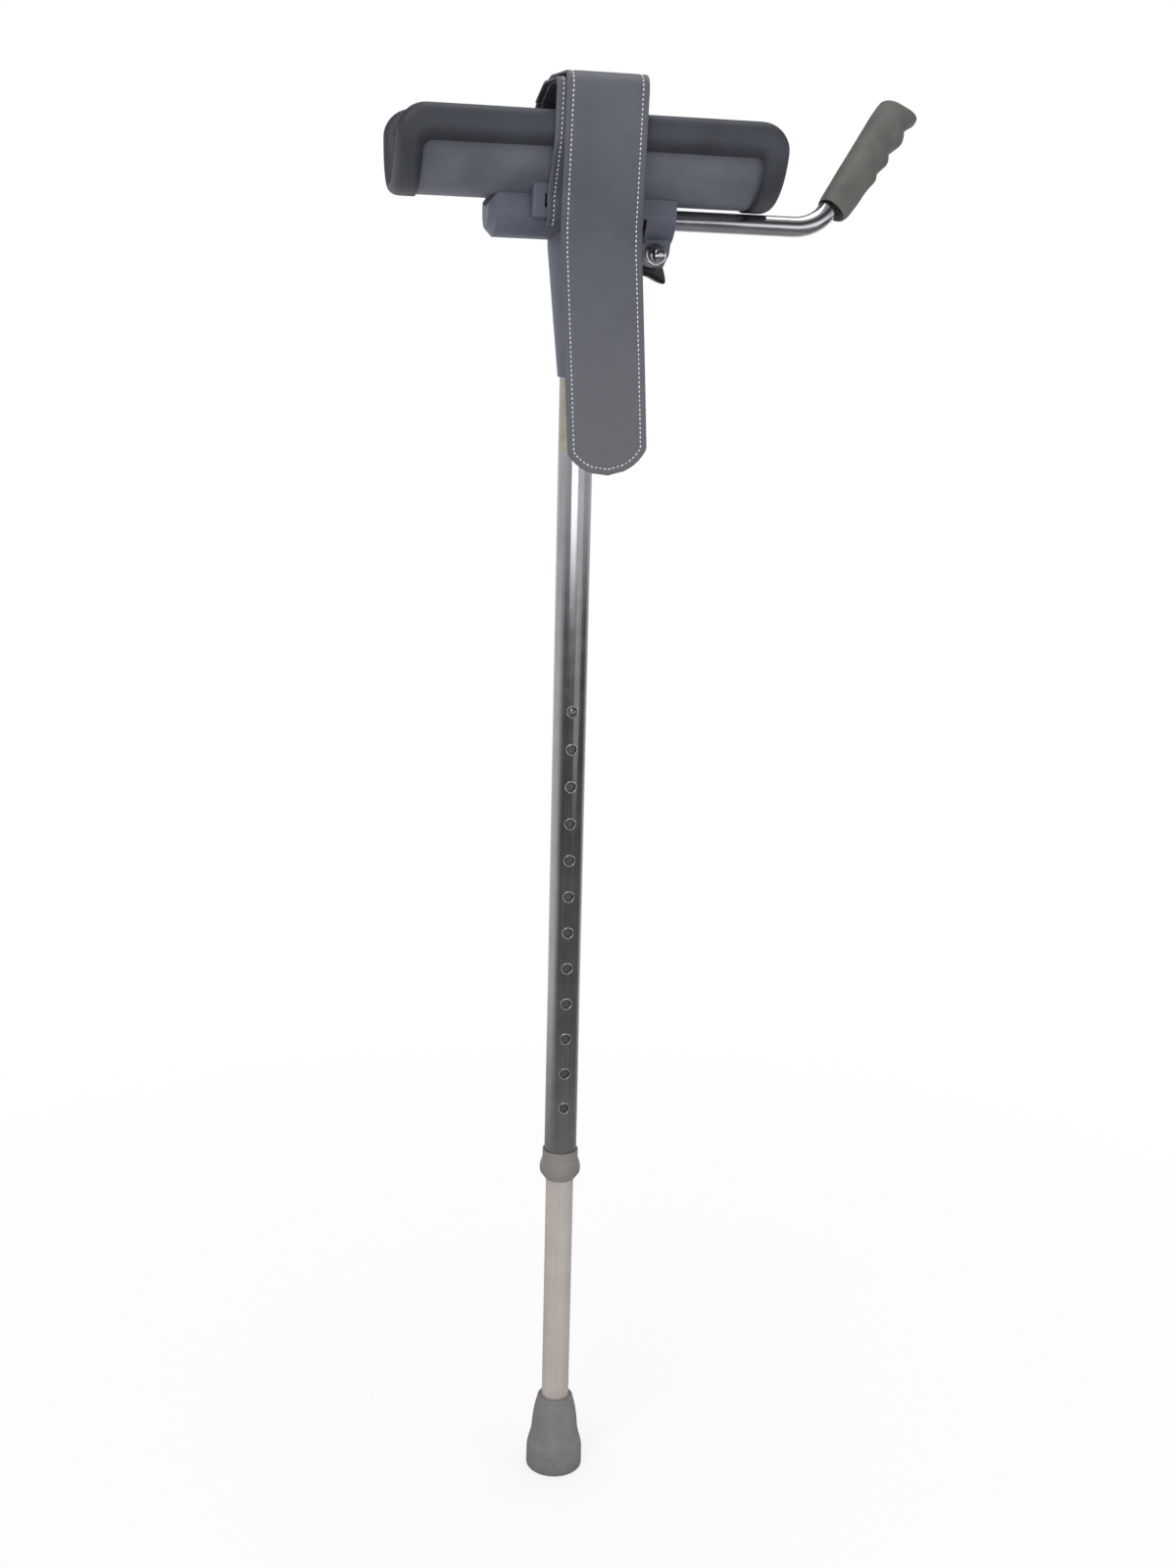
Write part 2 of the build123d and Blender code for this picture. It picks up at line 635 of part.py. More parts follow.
# Distance from the mouth, then the reach to the palm side, the reach to the finger side and the half width
grip_stations = ((0, 9.0, 8.8, 8.8), (10, 9.7, 10.2, 9.8), (20, 10.4, 10.7, 10.6), (29, 11.0, 10.5, 11.2),
                 (37.5, 11.6, 11.7, 11.7), (42.5, 11.9, 10.0, 11.9), (52.6, 12.5, 11.8, 12.3),
                 (58.5, 12.9, 9.4, 12.4), (69, 13.4, 12.2, 12.8), (77, 13.7, 9.2, 12.8),
                 (85, 13.7, 10.9, 12.9), (grip_length - 3, 13.5, 11.6, 12.9),
                 (grip_length - 0.8, 12.3, 10.4, 11.7), (grip_length, 10.3, 8.4, 9.7))
with BuildPart() as hand_grip:
    for distance, palm, fingers, half_width in grip_stations:
        with BuildSketch(grip_plane.offset(distance)):
            with Locations(((fingers - palm) / 2, 0)):
                Ellipse((fingers + palm) / 2, half_width)
    loft()
    with BuildSketch(grip_plane):
        Circle(rod_radius + tube_fit_gap)
    extrude(amount=grip_length - rod_short_of_grip_end + soft_gap, mode=Mode.SUBTRACT)


def strap_end(side):
    """Points of a strap's end, from the rim down round the keeper's bar and out through its window"""
    behind = keeper_half_width - keeper_bar_thickness - soft_gap - strap_thickness / 2
    front = keeper_half_width + soft_gap + strap_thickness / 2
    outer = front + strap_thickness + sewn_gap
    slant = atan2(strap_side - outer, strap_rim_level - strap_knee_level)
    knee = strap_knee_level + strap_thickness * tan(slant / 2)
    tail = (front + strap_tail * sin(slant), knee + strap_tail * cos(slant))
    turn = keeper_bottom - soft_gap - strap_thickness - 1.5
    crossing = keeper_bar_top + 3.0
    points = ((strap_side, strap_rim_level), (outer, strap_knee_level), (outer, turn), (behind, turn),
              (behind, crossing), (front, crossing), (front, knee), tail)
    return [(side * y, h) for y, h in points]


strap_end_radii = [15, 8, 4.1, 4.1, 1.8, 1.8, 1.2]


def strap_outline(left, width, end_level):
    """Side view of a strap that hangs to a level, leaning a little to the grip, with a rounded end"""
    lean = radians(strap_lean)
    run = (strap_break_level - end_level) / cos(lean)
    middle = left + width / 2
    shoulder = run - strap_end_depth
    tip = (middle + run * sin(lean), strap_break_level - run * cos(lean))
    ends = [(middle + shoulder * sin(lean) + side * width / 2 * cos(lean),
             strap_break_level - shoulder * cos(lean) + side * width / 2 * sin(lean)) for side in (-1, 1)]
    high = 2 * strap_top
    with BuildSketch() as outline:
        with BuildLine():
            FilletPolyline((left, high), (left, strap_break_level), ends[0], radius=80)
            ThreePointArc(ends[0], tip, ends[1])
            FilletPolyline(ends[1], (left + width, strap_break_level), (left + width, high), radius=80)
            Line((left + width, high), (left, high))
        make_face()
    return outline.sketch


long_side = strap_side + strap_thickness + 2 * tape_thickness
long_level = strap_top - strap_thickness / 2
short_level = long_level - strap_thickness - 2 * tape_thickness
hang_end_level = -strap_drop / cos(tilt)

with BuildPart() as long_strap:
    with BuildSketch(across(-2 * strap_width)):
        with BuildLine() as long_route:
            TangentArc((-long_side, strap_rim_level - 6), (-strap_hang_reach, hang_end_level), tangent=(0, -1))
            FilletPolyline((-long_side, strap_rim_level - 6), (-long_side, long_level), (0, long_level),
                           (strap_side, long_level - strap_far_drop), *strap_end(1),
                           radius=[strap_corner, 24, strap_corner] + strap_end_radii)
            offset(amount=strap_thickness / 2, side=Side.BOTH)
        make_face()
    extrude(amount=4 * strap_width)
    with BuildSketch(beside(-2 * gutter_radius)):
        add(strap_outline(long_strap_left, strap_width, hang_end_level))
    near_space = extrude(amount=strap_shift_depth - 2 * gutter_radius, mode=Mode.PRIVATE)
    with BuildSketch(head.offset(-2 * strap_top)):
        with BuildLine():
            Polyline((long_strap_left, -strap_shift_depth), (long_strap_left + strap_width, -strap_shift_depth),
                     (far_strap_left + strap_width, strap_shift_depth),
                     (far_strap_left + strap_width, 2 * gutter_radius), (far_strap_left, 2 * gutter_radius),
                     (far_strap_left, strap_shift_depth), (long_strap_left, -strap_shift_depth))
        make_face()
    far_space = extrude(amount=4 * strap_top, mode=Mode.PRIVATE)
    add(near_space + far_space, mode=Mode.INTERSECT)

with BuildPart() as short_strap:
    with BuildSketch(across(short_strap_left)):
        with BuildLine():
            FilletPolyline((short_strap_reach, short_level - short_strap_reach * strap_far_drop / strap_side),
                           (0, short_level), (-strap_side, short_level), *strap_end(-1),
                           radius=[20, strap_corner - long_side + strap_side] + strap_end_radii)
            offset(amount=strap_thickness / 2, side=Side.BOTH)
        make_face()
    extrude(amount=short_strap_width)

with BuildPart() as loop_tape:
    with BuildSketch(beside(-strap_side - strap_thickness / 2)):
        with Locations((tape_station, tape_level)):
            RectangleRounded(tape_width, tape_height, 3)
    extrude(amount=tape_thickness)

with BuildPart() as hook_tape:
    with BuildSketch(beside(-strap_side - strap_thickness / 2 - tape_thickness)):
        with Locations((tape_station, tape_level)):
            RectangleRounded(tape_width, tape_height, 3)
    extrude(amount=tape_thickness)

# Names and files
outer_tube.part.label = "outer_tube"
inner_tube.part.label = "inner_tube"
inner_tube_guide.part.label = "inner_tube_guide"
collar_bush.part.label = "collar_bush"
ferrule.part.label = "ferrule"
ferrule_washer.part.label = "ferrule_washer"
button_spring_clip.part.label = "button_spring_clip"
head_moulding.part.label = "head_moulding"
barrel_end_cap.part.label = "barrel_end_cap"
socket_rivet.part.label = "socket_rivet"
gutter_shell.part.label = "gutter_shell"
gutter_lining.part.label = "gutter_lining"
edge_roll.part.label = "edge_roll"
gutter_screws.part.label = "gutter_screws"
clamp_washers.part.label = "clamp_washers"
dome_nut.part.label = "dome_nut"
clamp_knob.part.label = "clamp_knob"
clamp_stud.part.label = "clamp_stud"
handle_rod.part.label = "handle_rod"
rod_end_plug.part.label = "rod_end_plug"
hand_grip.part.label = "hand_grip"
long_strap.part.label = "long_strap"
short_strap.part.label = "short_strap"
loop_tape.part.label = "loop_tape"
hook_tape.part.label = "hook_tape"

export_step(outer_tube.part, "parts/outer_tube.step")
export_step(inner_tube.part, "parts/inner_tube.step")
export_step(inner_tube_guide.part, "parts/inner_tube_guide.step")
export_step(collar_bush.part, "parts/collar_bush.step")
export_step(ferrule.part, "parts/ferrule.step")
export_step(ferrule_washer.part, "parts/ferrule_washer.step")
export_step(button_spring_clip.part, "parts/button_spring_clip.step")
export_step(head_moulding.part, "parts/head_moulding.step")
export_step(barrel_end_cap.part, "parts/barrel_end_cap.step")
export_step(socket_rivet.part, "parts/socket_rivet.step")
export_step(gutter_shell.part, "parts/gutter_shell.step")
export_step(gutter_lining.part, "parts/gutter_lining.step")
export_step(edge_roll.part, "parts/edge_roll.step")
export_step(gutter_screws.part, "parts/gutter_screws.step")
export_step(clamp_washers.part, "parts/clamp_washers.step")
export_step(dome_nut.part, "parts/dome_nut.step")
export_step(clamp_knob.part, "parts/clamp_knob.step")
export_step(clamp_stud.part, "parts/clamp_stud.step")
export_step(handle_rod.part, "parts/handle_rod.step")
export_step(rod_end_plug.part, "parts/rod_end_plug.step")
export_step(hand_grip.part, "parts/hand_grip.step")
export_step(long_strap.part, "parts/long_strap.step")
export_step(short_strap.part, "parts/short_strap.step")
export_step(loop_tape.part, "parts/loop_tape.step")
export_step(hook_tape.part, "parts/hook_tape.step")
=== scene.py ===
# %% [markdown]
# # A platform crutch
# The imported CAD model is a fixed frame: tubes, head, clamp and handle are already there, in metres.
# This file adds what CAD doesn't hold: soft trim and straps, stitches, finishes, light and a camera.
# It measures the model before the floor and lamps are added, and sets the floor at its lowest point.

# %% Load the frame
from math import atan2, ceil, cos, exp, pi, radians, sin, sqrt, tan

import bmesh
import bpy
from mathutils import Matrix, Vector, noise


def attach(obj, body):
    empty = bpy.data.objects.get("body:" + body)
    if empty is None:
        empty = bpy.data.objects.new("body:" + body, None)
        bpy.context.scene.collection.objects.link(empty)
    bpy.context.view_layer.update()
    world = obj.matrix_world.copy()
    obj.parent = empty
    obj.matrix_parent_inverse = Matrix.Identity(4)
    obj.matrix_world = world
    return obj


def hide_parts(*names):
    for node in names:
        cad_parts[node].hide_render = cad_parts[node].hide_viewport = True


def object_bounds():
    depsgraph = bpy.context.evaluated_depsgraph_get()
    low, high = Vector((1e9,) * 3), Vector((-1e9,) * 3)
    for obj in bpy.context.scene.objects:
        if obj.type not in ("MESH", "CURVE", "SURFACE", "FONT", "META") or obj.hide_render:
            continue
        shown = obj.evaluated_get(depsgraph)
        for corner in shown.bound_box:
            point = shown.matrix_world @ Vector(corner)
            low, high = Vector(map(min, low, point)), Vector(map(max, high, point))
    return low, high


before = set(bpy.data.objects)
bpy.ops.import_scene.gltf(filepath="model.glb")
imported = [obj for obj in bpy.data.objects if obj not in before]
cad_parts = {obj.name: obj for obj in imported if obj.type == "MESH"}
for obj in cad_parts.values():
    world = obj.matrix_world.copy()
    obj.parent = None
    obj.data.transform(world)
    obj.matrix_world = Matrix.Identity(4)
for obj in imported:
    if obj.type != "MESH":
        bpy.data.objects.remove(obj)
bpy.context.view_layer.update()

# %% [markdown]
# ## The head's own millimetres
# The gutter, the straps and the handle rod all sit square to one casting that leans 1.5 degrees on the shaft.
# Placing them one by one in world axes would spread that lean through every formula.
# So one helper takes a point along, across and up from the handle rod's axis and gives the frame's metres.

# %% Points given from the handle rod's axis
HEAD_TILT = radians(1.5)
ROD_BELOW_REST = 17.306


def head_point(along, depth, up):
    """Frame metres of a point in the head's millimetres: along the rod, away from the viewer, up."""
    lean, rise = cos(HEAD_TILT), sin(HEAD_TILT)
    return Vector((along * lean + up * rise, depth, up * lean - along * rise - ROD_BELOW_REST)) / 1000


print("rod axis over the shaft", head_point(0, 0, 0))

# %% [markdown]
# ## Camera
# The photograph was taken from in front of the holes, a little above the gutter, looking down.
# The hole spacing of one inch gave the distance, and the leaning verticals gave the downward angle.
# The lens is set by the picture's height, so a different width of render keeps the same view.

# %% Camera
camera_data = bpy.data.cameras.new("photo_camera")
camera_data.sensor_fit = "VERTICAL"
camera_data.sensor_height = 24.0
camera_data.lens = 24.0 * 2141 / 1600
camera_data.shift_x = 20.27 / 1600
camera = bpy.data.objects.new("photo_camera", camera_data)
bpy.context.scene.collection.objects.link(camera)
view_turn = Matrix.Rotation(radians(-10.5), 4, "Z") @ Matrix.Rotation(radians(90 - 14.66), 4, "X")
camera.matrix_world = Matrix.Translation((-0.2462, -1.3284, -0.0287)) @ view_turn @ Matrix.Rotation(0.0217, 4, "Z")
bpy.context.scene.camera = camera
bpy.context.scene.view_settings.view_transform = "Standard"
print("lens", round(camera_data.lens, 2), "mm")

# %% [markdown]
# ## One way to add a node
# Shaders and Geometry Nodes are both graphs, and writing them out takes three steps for each node.
# One helper makes the node, sets what is constant and links what comes from another node.

# %% Node and colour helpers


def add_node(tree, kind, inputs=None, **settings):
    """Adds a node with its settings; each input gets a value or another node's socket."""
    made = tree.nodes.new(kind)
    for name, value in settings.items():
        setattr(made, name, value)
    for name, value in (inputs or {}).items():
        if isinstance(value, bpy.types.NodeSocket):
            tree.links.new(value, made.inputs[name])
        else:
            made.inputs[name].default_value = value
    return made


def linear(hex_colour, alpha=1.0):
    """Linear colour of an sRGB hex value such as 5a5f6b."""
    parts = [int(hex_colour[n:n + 2], 16) / 255 for n in (0, 2, 4)]
    return [c / 12.92 if c <= 0.04045 else ((c + 0.055) / 1.055) ** 2.4 for c in parts] + [alpha]


print("mid grey in linear light", round(linear("808080")[0], 3))

# %% [markdown]
# ## Studio
# The object was shot against white, with soft light from above and the left.
# The white comes from what camera and glossy rays see, not from brighter lamps, so greys stay as written.
# A shaft seen from above mirrors the floor in front of it, not the room, so the floor is shaded by place.
# Close by it is dim, then dark in front, and white far off and behind, which draws the edges of tube and rod.
# One low strip lamp beside the camera gives the bright line along the rod and the highlight high on the tube.

# %% Floor, backdrop and lamps
FLOOR_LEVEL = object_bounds()[0][2]
floor_mesh = bpy.data.meshes.new("floor")
floor_mesh.from_pydata([(x, y, FLOOR_LEVEL) for x, y in ((-30, -30), (30, -30), (30, 30), (-30, 30))], [],
                       [(0, 1, 2, 3)])
floor = bpy.data.objects.new("floor", floor_mesh)
bpy.context.scene.collection.objects.link(floor)


def grey_steps(tree, driver, steps):
    """Grey that goes through brightness values as a number from 0 to 1 rises."""
    ramp = add_node(tree, "ShaderNodeValToRGB", {0: driver})
    for n, (position, grey) in enumerate(steps):
        step = ramp.color_ramp.elements[n] if n < 2 else ramp.color_ramp.elements.new(position)
        step.position, step.color = position, (grey, grey, grey, 1.0)
    return ramp.outputs[0]


def towards_the_back(tree, way):
    """0 on the photographer's side of the object and 1 behind it, from a direction or a place."""
    level = add_node(tree, "ShaderNodeVectorMath", {0: way, 1: (1.0, 1.0, 0.0)}, operation="MULTIPLY")
    level = add_node(tree, "ShaderNodeVectorMath", {0: level.outputs[0]}, operation="NORMALIZE")
    facing = add_node(tree, "ShaderNodeVectorMath", {0: level.outputs[0], 1: (-0.35, 0.93, 0.0)},
                      operation="DOT_PRODUCT")
    share = add_node(tree, "ShaderNodeMapRange", {"Value": facing.outputs["Value"], "From Min": -0.25,
                                                  "From Max": 0.45})
    return share.outputs[0]


paper = bpy.data.materials.new("white_paper_sweep")
paper.use_nodes = True
tree = paper.node_tree
tree.nodes.clear()
rays = add_node(tree, "ShaderNodeLightPath")
place = add_node(tree, "ShaderNodeTexCoord")
flat = add_node(tree, "ShaderNodeVectorMath", {0: place.outputs["Object"], 1: (1.0, 1.0, 0.0)}, operation="MULTIPLY")
away = add_node(tree, "ShaderNodeVectorMath", {0: flat.outputs[0]}, operation="LENGTH")
near = add_node(tree, "ShaderNodeMapRange", {"Value": away.outputs["Value"], "From Min": 0.2, "From Max": 0.9,
                                             "To Min": 0.74, "To Max": 1.0})
metres = add_node(tree, "ShaderNodeMath", {0: away.outputs["Value"], 1: 10.0}, operation="DIVIDE")
front = grey_steps(tree, metres.outputs[0], ((0.0, 0.3), (0.06, 0.34), (0.08, 0.22), (0.2, 0.14), (0.38, 0.1), (0.5, 0.9)))
beyond = add_node(tree, "ShaderNodeMapRange", {"Value": away.outputs["Value"], "From Min": 0.5, "From Max": 1.0})
behind = add_node(tree, "ShaderNodeMath", {0: towards_the_back(tree, place.outputs["Object"]),
                                           1: beyond.outputs[0]}, operation="MULTIPLY")
mirrored = add_node(tree, "ShaderNodeMix", {0: behind.outputs[0], 2: front, 3: 1.0})
shown = add_node(tree, "ShaderNodeMix", {0: rays.outputs["Is Glossy Ray"], 2: 1.0, 3: mirrored.outputs[0]})
seen = add_node(tree, "ShaderNodeMath", {0: rays.outputs["Is Camera Ray"], 1: rays.outputs["Is Transmission Ray"]},
                operation="MAXIMUM")
share = add_node(tree, "ShaderNodeMath", {0: seen.outputs[0], 1: near.outputs[0]}, operation="MULTIPLY")
share = add_node(tree, "ShaderNodeMath", {0: share.outputs[0], 1: rays.outputs["Is Glossy Ray"]}, operation="MAXIMUM")
matt = add_node(tree, "ShaderNodeBsdfDiffuse", {"Color": linear("f4f4f4")})
glow = add_node(tree, "ShaderNodeEmission", {"Color": linear("ffffff"), "Strength": shown.outputs[0]})
mixed = add_node(tree, "ShaderNodeMixShader", {0: share.outputs[0], 1: matt.outputs[0], 2: glow.outputs[0]})
add_node(tree, "ShaderNodeOutputMaterial", {"Surface": mixed.outputs[0]})
floor_mesh.materials.append(paper)

world = bpy.data.worlds.new("studio")
bpy.context.scene.world = world
world.use_nodes = True
tree = world.node_tree
tree.nodes.clear()
rays = add_node(tree, "ShaderNodeLightPath")
way = add_node(tree, "ShaderNodeTexCoord").outputs["Generated"]
rise = add_node(tree, "ShaderNodeSeparateXYZ", {0: way})
front = grey_steps(tree, rise.outputs["Z"], ((0.0, 1.0), (0.06, 0.9), (0.16, 0.1), (0.7, 0.07), (0.95, 0.5)))
rear = grey_steps(tree, rise.outputs["Z"], ((0.0, 1.0), (0.05, 0.7), (0.2, 0.22), (0.9, 0.16)))
room = add_node(tree, "ShaderNodeMix", {0: towards_the_back(tree, way), 2: front, 3: rear})
soft = add_node(tree, "ShaderNodeMix", {0: rays.outputs["Is Glossy Ray"], 2: 0.62, 3: room.outputs[0]})
level = add_node(tree, "ShaderNodeMix", {0: rays.outputs["Is Camera Ray"], 2: soft.outputs[0], 3: 1.0})
back = add_node(tree, "ShaderNodeBackground", {"Color": linear("ffffff"), "Strength": level.outputs[0]})
add_node(tree, "ShaderNodeOutputWorld", {"Surface": back.outputs[0]})


def soft_lamp(name, place, aim, size, watts):
    """A softbox of a width and height at a place, turned to what it lights."""
    data = bpy.data.lights.new(name, "AREA")
    data.shape = "RECTANGLE"
    data.size, data.size_y = size
    data.energy = watts
    lamp = bpy.data.objects.new(name, data)
    lamp.location = place
    lamp.rotation_euler = (Vector(aim) - Vector(place)).to_track_quat("-Z", "Y").to_euler()
    bpy.context.scene.collection.objects.link(lamp)
    return lamp


soft_lamp("key_softbox", (-1.1, -1.5, 1.5), (0, 0, -0.1), (1.2, 1.2), 22)
soft_lamp("top_softbox", (0.3, 0.4, 1.9), (0, 0, 0), (1.4, 1.4), 14)
soft_lamp("low_fill", (1.2, -1.4, -0.2), (0, 0, -0.4), (1.6, 1.6), 4)
soft_lamp("low_strip", (-0.29, -1.57, -0.375), (0, 0, -0.19), (1.4, 0.17), 2.6)
print("floor level", round(FLOOR_LEVEL, 4))

# %% [markdown]
# ## Finishes that share a start
# Each finish below begins with the same two nodes: a shader and the output.
# What differs is what drives colour, roughness and relief, and that is written out for each one.
# Patterns read the object's own coordinates in metres, so a scale of 1000 means one millimetre.

# %% Start of a finish


def start_finish(name, colour, roughness, metallic=0.0):
    """An empty finish with its shader, and the coordinates that its patterns read."""
    finish = bpy.data.materials.new(name)
    finish.use_nodes = True
    tree = finish.node_tree
    tree.nodes.clear()
    shader = add_node(tree, "ShaderNodeBsdfPrincipled", {"Base Color": linear(colour), "Roughness": roughness,
                                                         "Metallic": metallic})
    add_node(tree, "ShaderNodeOutputMaterial", {"Surface": shader.outputs[0]})
    place = add_node(tree, "ShaderNodeTexCoord")
    return finish, tree, shader, place.outputs["Object"]


def colour_between(tree, driver, low, high, start=0.35, end=0.65):
    """Colour that goes from one hex value to another as a pattern rises."""
    ramp = add_node(tree, "ShaderNodeValToRGB", {0: driver})
    ramp.color_ramp.elements[0].position = start
    ramp.color_ramp.elements[0].color = linear(low)
    ramp.color_ramp.elements[1].position = end
    ramp.color_ramp.elements[1].color = linear(high)
    return ramp.outputs[0]


print("patterns are in metres")

# %% [markdown]
# ## Drawn aluminium
# Crutch shafts are drawn tube, and drawing leaves faint lines along the length that stretch each reflection.
# The upper tube is bright-anodised. The lower one is duller, because the bush rubs it each time it slides.
# A noise squeezed across the tube and stretched along it gives the lines. Wider noise gives the handling marks.

# %% Drawn and anodised aluminium


def drawn_aluminium(name, low, high, smooth, rough, line_height, metallic=1.0):
    finish, tree, shader, place = start_finish(name, high, smooth, metallic)
    along = add_node(tree, "ShaderNodeMapping", {"Vector": place, "Scale": (900.0, 900.0, 9.0)})
    lines = add_node(tree, "ShaderNodeTexNoise", {"Vector": along.outputs[0], "Scale": 1.0, "Detail": 3.0})
    marks = add_node(tree, "ShaderNodeTexNoise", {"Vector": place, "Scale": 55.0, "Detail": 5.0, "Roughness": 0.6})
    both = add_node(tree, "ShaderNodeMix", {0: 0.5, 2: lines.outputs["Fac"], 3: marks.outputs["Fac"]})
    spread = add_node(tree, "ShaderNodeMapRange", {"Value": both.outputs[0], "From Min": 0.3, "From Max": 0.7,
                                                   "To Min": smooth, "To Max": rough})
    relief = add_node(tree, "ShaderNodeBump", {"Height": lines.outputs["Fac"], "Strength": 0.25,
                                               "Distance": line_height / 1000})
    tree.links.new(colour_between(tree, both.outputs[0], low, high), shader.inputs["Base Color"])
    tree.links.new(spread.outputs[0], shader.inputs["Roughness"])
    tree.links.new(relief.outputs[0], shader.inputs["Normal"])
    return finish


anodised_tube = drawn_aluminium("bright_anodised_aluminium", "8b8d8f", "a3a5a8", 0.11, 0.2, 0.03)
# A white haze of oxide and rubbed-off plastic covers the lower tube, so less than half of it still mirrors
rubbed_tube = drawn_aluminium("rubbed_satin_aluminium", "c2b9b2", "d3cac3", 0.28, 0.42, 0.05, metallic=0.4)
tree = rubbed_tube.node_tree
shader = next(node for node in tree.nodes if node.type == "BSDF_PRINCIPLED")
place = next(node for node in tree.nodes if node.type == "TEX_COORD").outputs["Object"]
clean_colour = shader.inputs["Base Color"].links[0].from_socket
height = add_node(tree, "ShaderNodeSeparateXYZ", {0: place})
# Above the collar the lower tube lies inside the upper one, and is painted dark grey there as painted shade, which the
# empty holes show
inside = add_node(tree, "ShaderNodeMapRange", {"Value": height.outputs["Z"], "From Min": -0.655, "From Max": -0.635})
painted_shade_inside = add_node(tree, "ShaderNodeMix", {0: inside.outputs[0], 6: clean_colour, 7: linear("57585a")},
                  data_type="RGBA")
tree.links.new(painted_shade_inside.outputs[2], shader.inputs["Base Color"])
print("two aluminium finishes")

# %% [markdown]
# ## Plated and bare steel
# The handle rod and the dome nut are chrome plated: almost a mirror, with finger smears that dull it in patches.
# Screws, washers and rivet are zinc plated, which is greyer and slightly yellow, with a crystalline mottle.
# The snap button's leaf is bare spring steel, darker again.

# %% Chrome, zinc and spring steel


def plated_steel(name, low, high, smooth, rough, patch):
    finish, tree, shader, place = start_finish(name, high, smooth, metallic=1.0)
    smears = add_node(tree, "ShaderNodeTexNoise", {"Vector": place, "Scale": 1000.0 / patch, "Detail": 6.0,
                                                   "Roughness": 0.65, "Distortion": 0.4})
    spread = add_node(tree, "ShaderNodeMapRange", {"Value": smears.outputs["Fac"], "From Min": 0.4, "From Max": 0.72,
                                                   "To Min": smooth, "To Max": rough})
    tree.links.new(colour_between(tree, smears.outputs["Fac"], low, high), shader.inputs["Base Color"])
    tree.links.new(spread.outputs[0], shader.inputs["Roughness"])
    return finish


chrome = plated_steel("chrome_plated_steel", "b4b1b8", "c9c7cc", 0.05, 0.2, 24.0)
zinc = plated_steel("zinc_plated_steel", "9c9a90", "b6b4aa", 0.28, 0.42, 2.0)
spring_steel = plated_steel("spring_steel", "7d7f83", "939599", 0.25, 0.38, 6.0)
print("three steel finishes")

# %% [markdown]
# ## Moulded plastics
# The head and its cap are glass-filled nylon: blue-grey, satin, with a spark-eroded grain from the mould.
# Collar bush and guide are polypropylene, paler and waxier. The knob is black and a little glossier.
# A fine noise makes the grain and a wide one makes the slight flow marks in the colour.

# %% Moulded plastics


def moulded_plastic(name, low, high, smooth, rough, grain, depth):
    finish, tree, shader, place = start_finish(name, high, smooth)
    flow = add_node(tree, "ShaderNodeTexNoise", {"Vector": place, "Scale": 38.0, "Detail": 4.0, "Distortion": 0.6})
    fine = add_node(tree, "ShaderNodeTexNoise", {"Vector": place, "Scale": 1000.0 / grain, "Detail": 2.0})
    spread = add_node(tree, "ShaderNodeMapRange", {"Value": flow.outputs["Fac"], "From Min": 0.35, "From Max": 0.65,
                                                   "To Min": smooth, "To Max": rough})
    relief = add_node(tree, "ShaderNodeBump", {"Height": fine.outputs["Fac"], "Strength": 0.4,
                                               "Distance": depth / 1000})
    tree.links.new(colour_between(tree, flow.outputs["Fac"], low, high), shader.inputs["Base Color"])
    tree.links.new(spread.outputs[0], shader.inputs["Roughness"])
    tree.links.new(relief.outputs[0], shader.inputs["Normal"])
    return finish


# Grain of 0.9 mm is coarser than the real 0.2 mm, so that it shows at this size of picture
head_nylon = moulded_plastic("grained_grey_nylon", "545967", "5f6473", 0.42, 0.52, 0.9, 0.05)
bush_plastic = moulded_plastic("grey_polypropylene", "78746f", "84807b", 0.38, 0.5, 1.2, 0.03)
knob_plastic = moulded_plastic("black_moulded_plastic", "0d0e10", "17181b", 0.28, 0.4, 1.0, 0.03)
shell_plastic = moulded_plastic("vacuum_formed_grey_sheet", "545963", "61656f", 0.5, 0.62, 1.1, 0.09)
print("four plastics")

# %% [markdown]
# ## Rubber
# The ferrule is moulded grey rubber. It picks up scuffs and dust where it meets the ground.
# The hand grip is a softer rubber, warm grey, with a fine matt bloom.
# Height above the floor drives the dust on the ferrule. Wide noise drives the bloom on the grip.

# %% Rubbers


def moulded_rubber(name, low, high, rough, bloom_size, grain):
    finish, tree, shader, place = start_finish(name, high, rough)
    bloom = add_node(tree, "ShaderNodeTexNoise", {"Vector": place, "Scale": 1000.0 / bloom_size, "Detail": 5.0,
                                                  "Roughness": 0.62})
    fine = add_node(tree, "ShaderNodeTexNoise", {"Vector": place, "Scale": 1000.0 / grain, "Detail": 3.0})
    relief = add_node(tree, "ShaderNodeBump", {"Height": fine.outputs["Fac"], "Strength": 0.5, "Distance": 0.00012})
    tree.links.new(colour_between(tree, bloom.outputs["Fac"], low, high, 0.3, 0.7), shader.inputs["Base Color"])
    tree.links.new(relief.outputs[0], shader.inputs["Normal"])
    return finish, tree, shader, place


grip_rubber = moulded_rubber("bloomed_grip_rubber", "595754", "686662", 0.62, 16.0, 1.0)[0]
ferrule_rubber, tree, shader, place = moulded_rubber("scuffed_ferrule_rubber", "707072", "7c7c7e", 0.7, 9.0, 1.4)
height = add_node(tree, "ShaderNodeSeparateXYZ", {0: place})
near_ground = add_node(tree, "ShaderNodeMapRange", {"Value": height.outputs["Z"], "From Min": FLOOR_LEVEL + 0.02,
                                                    "From Max": FLOOR_LEVEL, "To Min": 0.0, "To Max": 0.55})
spots = add_node(tree, "ShaderNodeTexNoise", {"Vector": place, "Scale": 260.0, "Detail": 4.0})
dusty = add_node(tree, "ShaderNodeMath", {0: near_ground.outputs[0], 1: spots.outputs["Fac"]}, operation="MULTIPLY")
rubber_colour = shader.inputs["Base Color"].links[0].from_socket
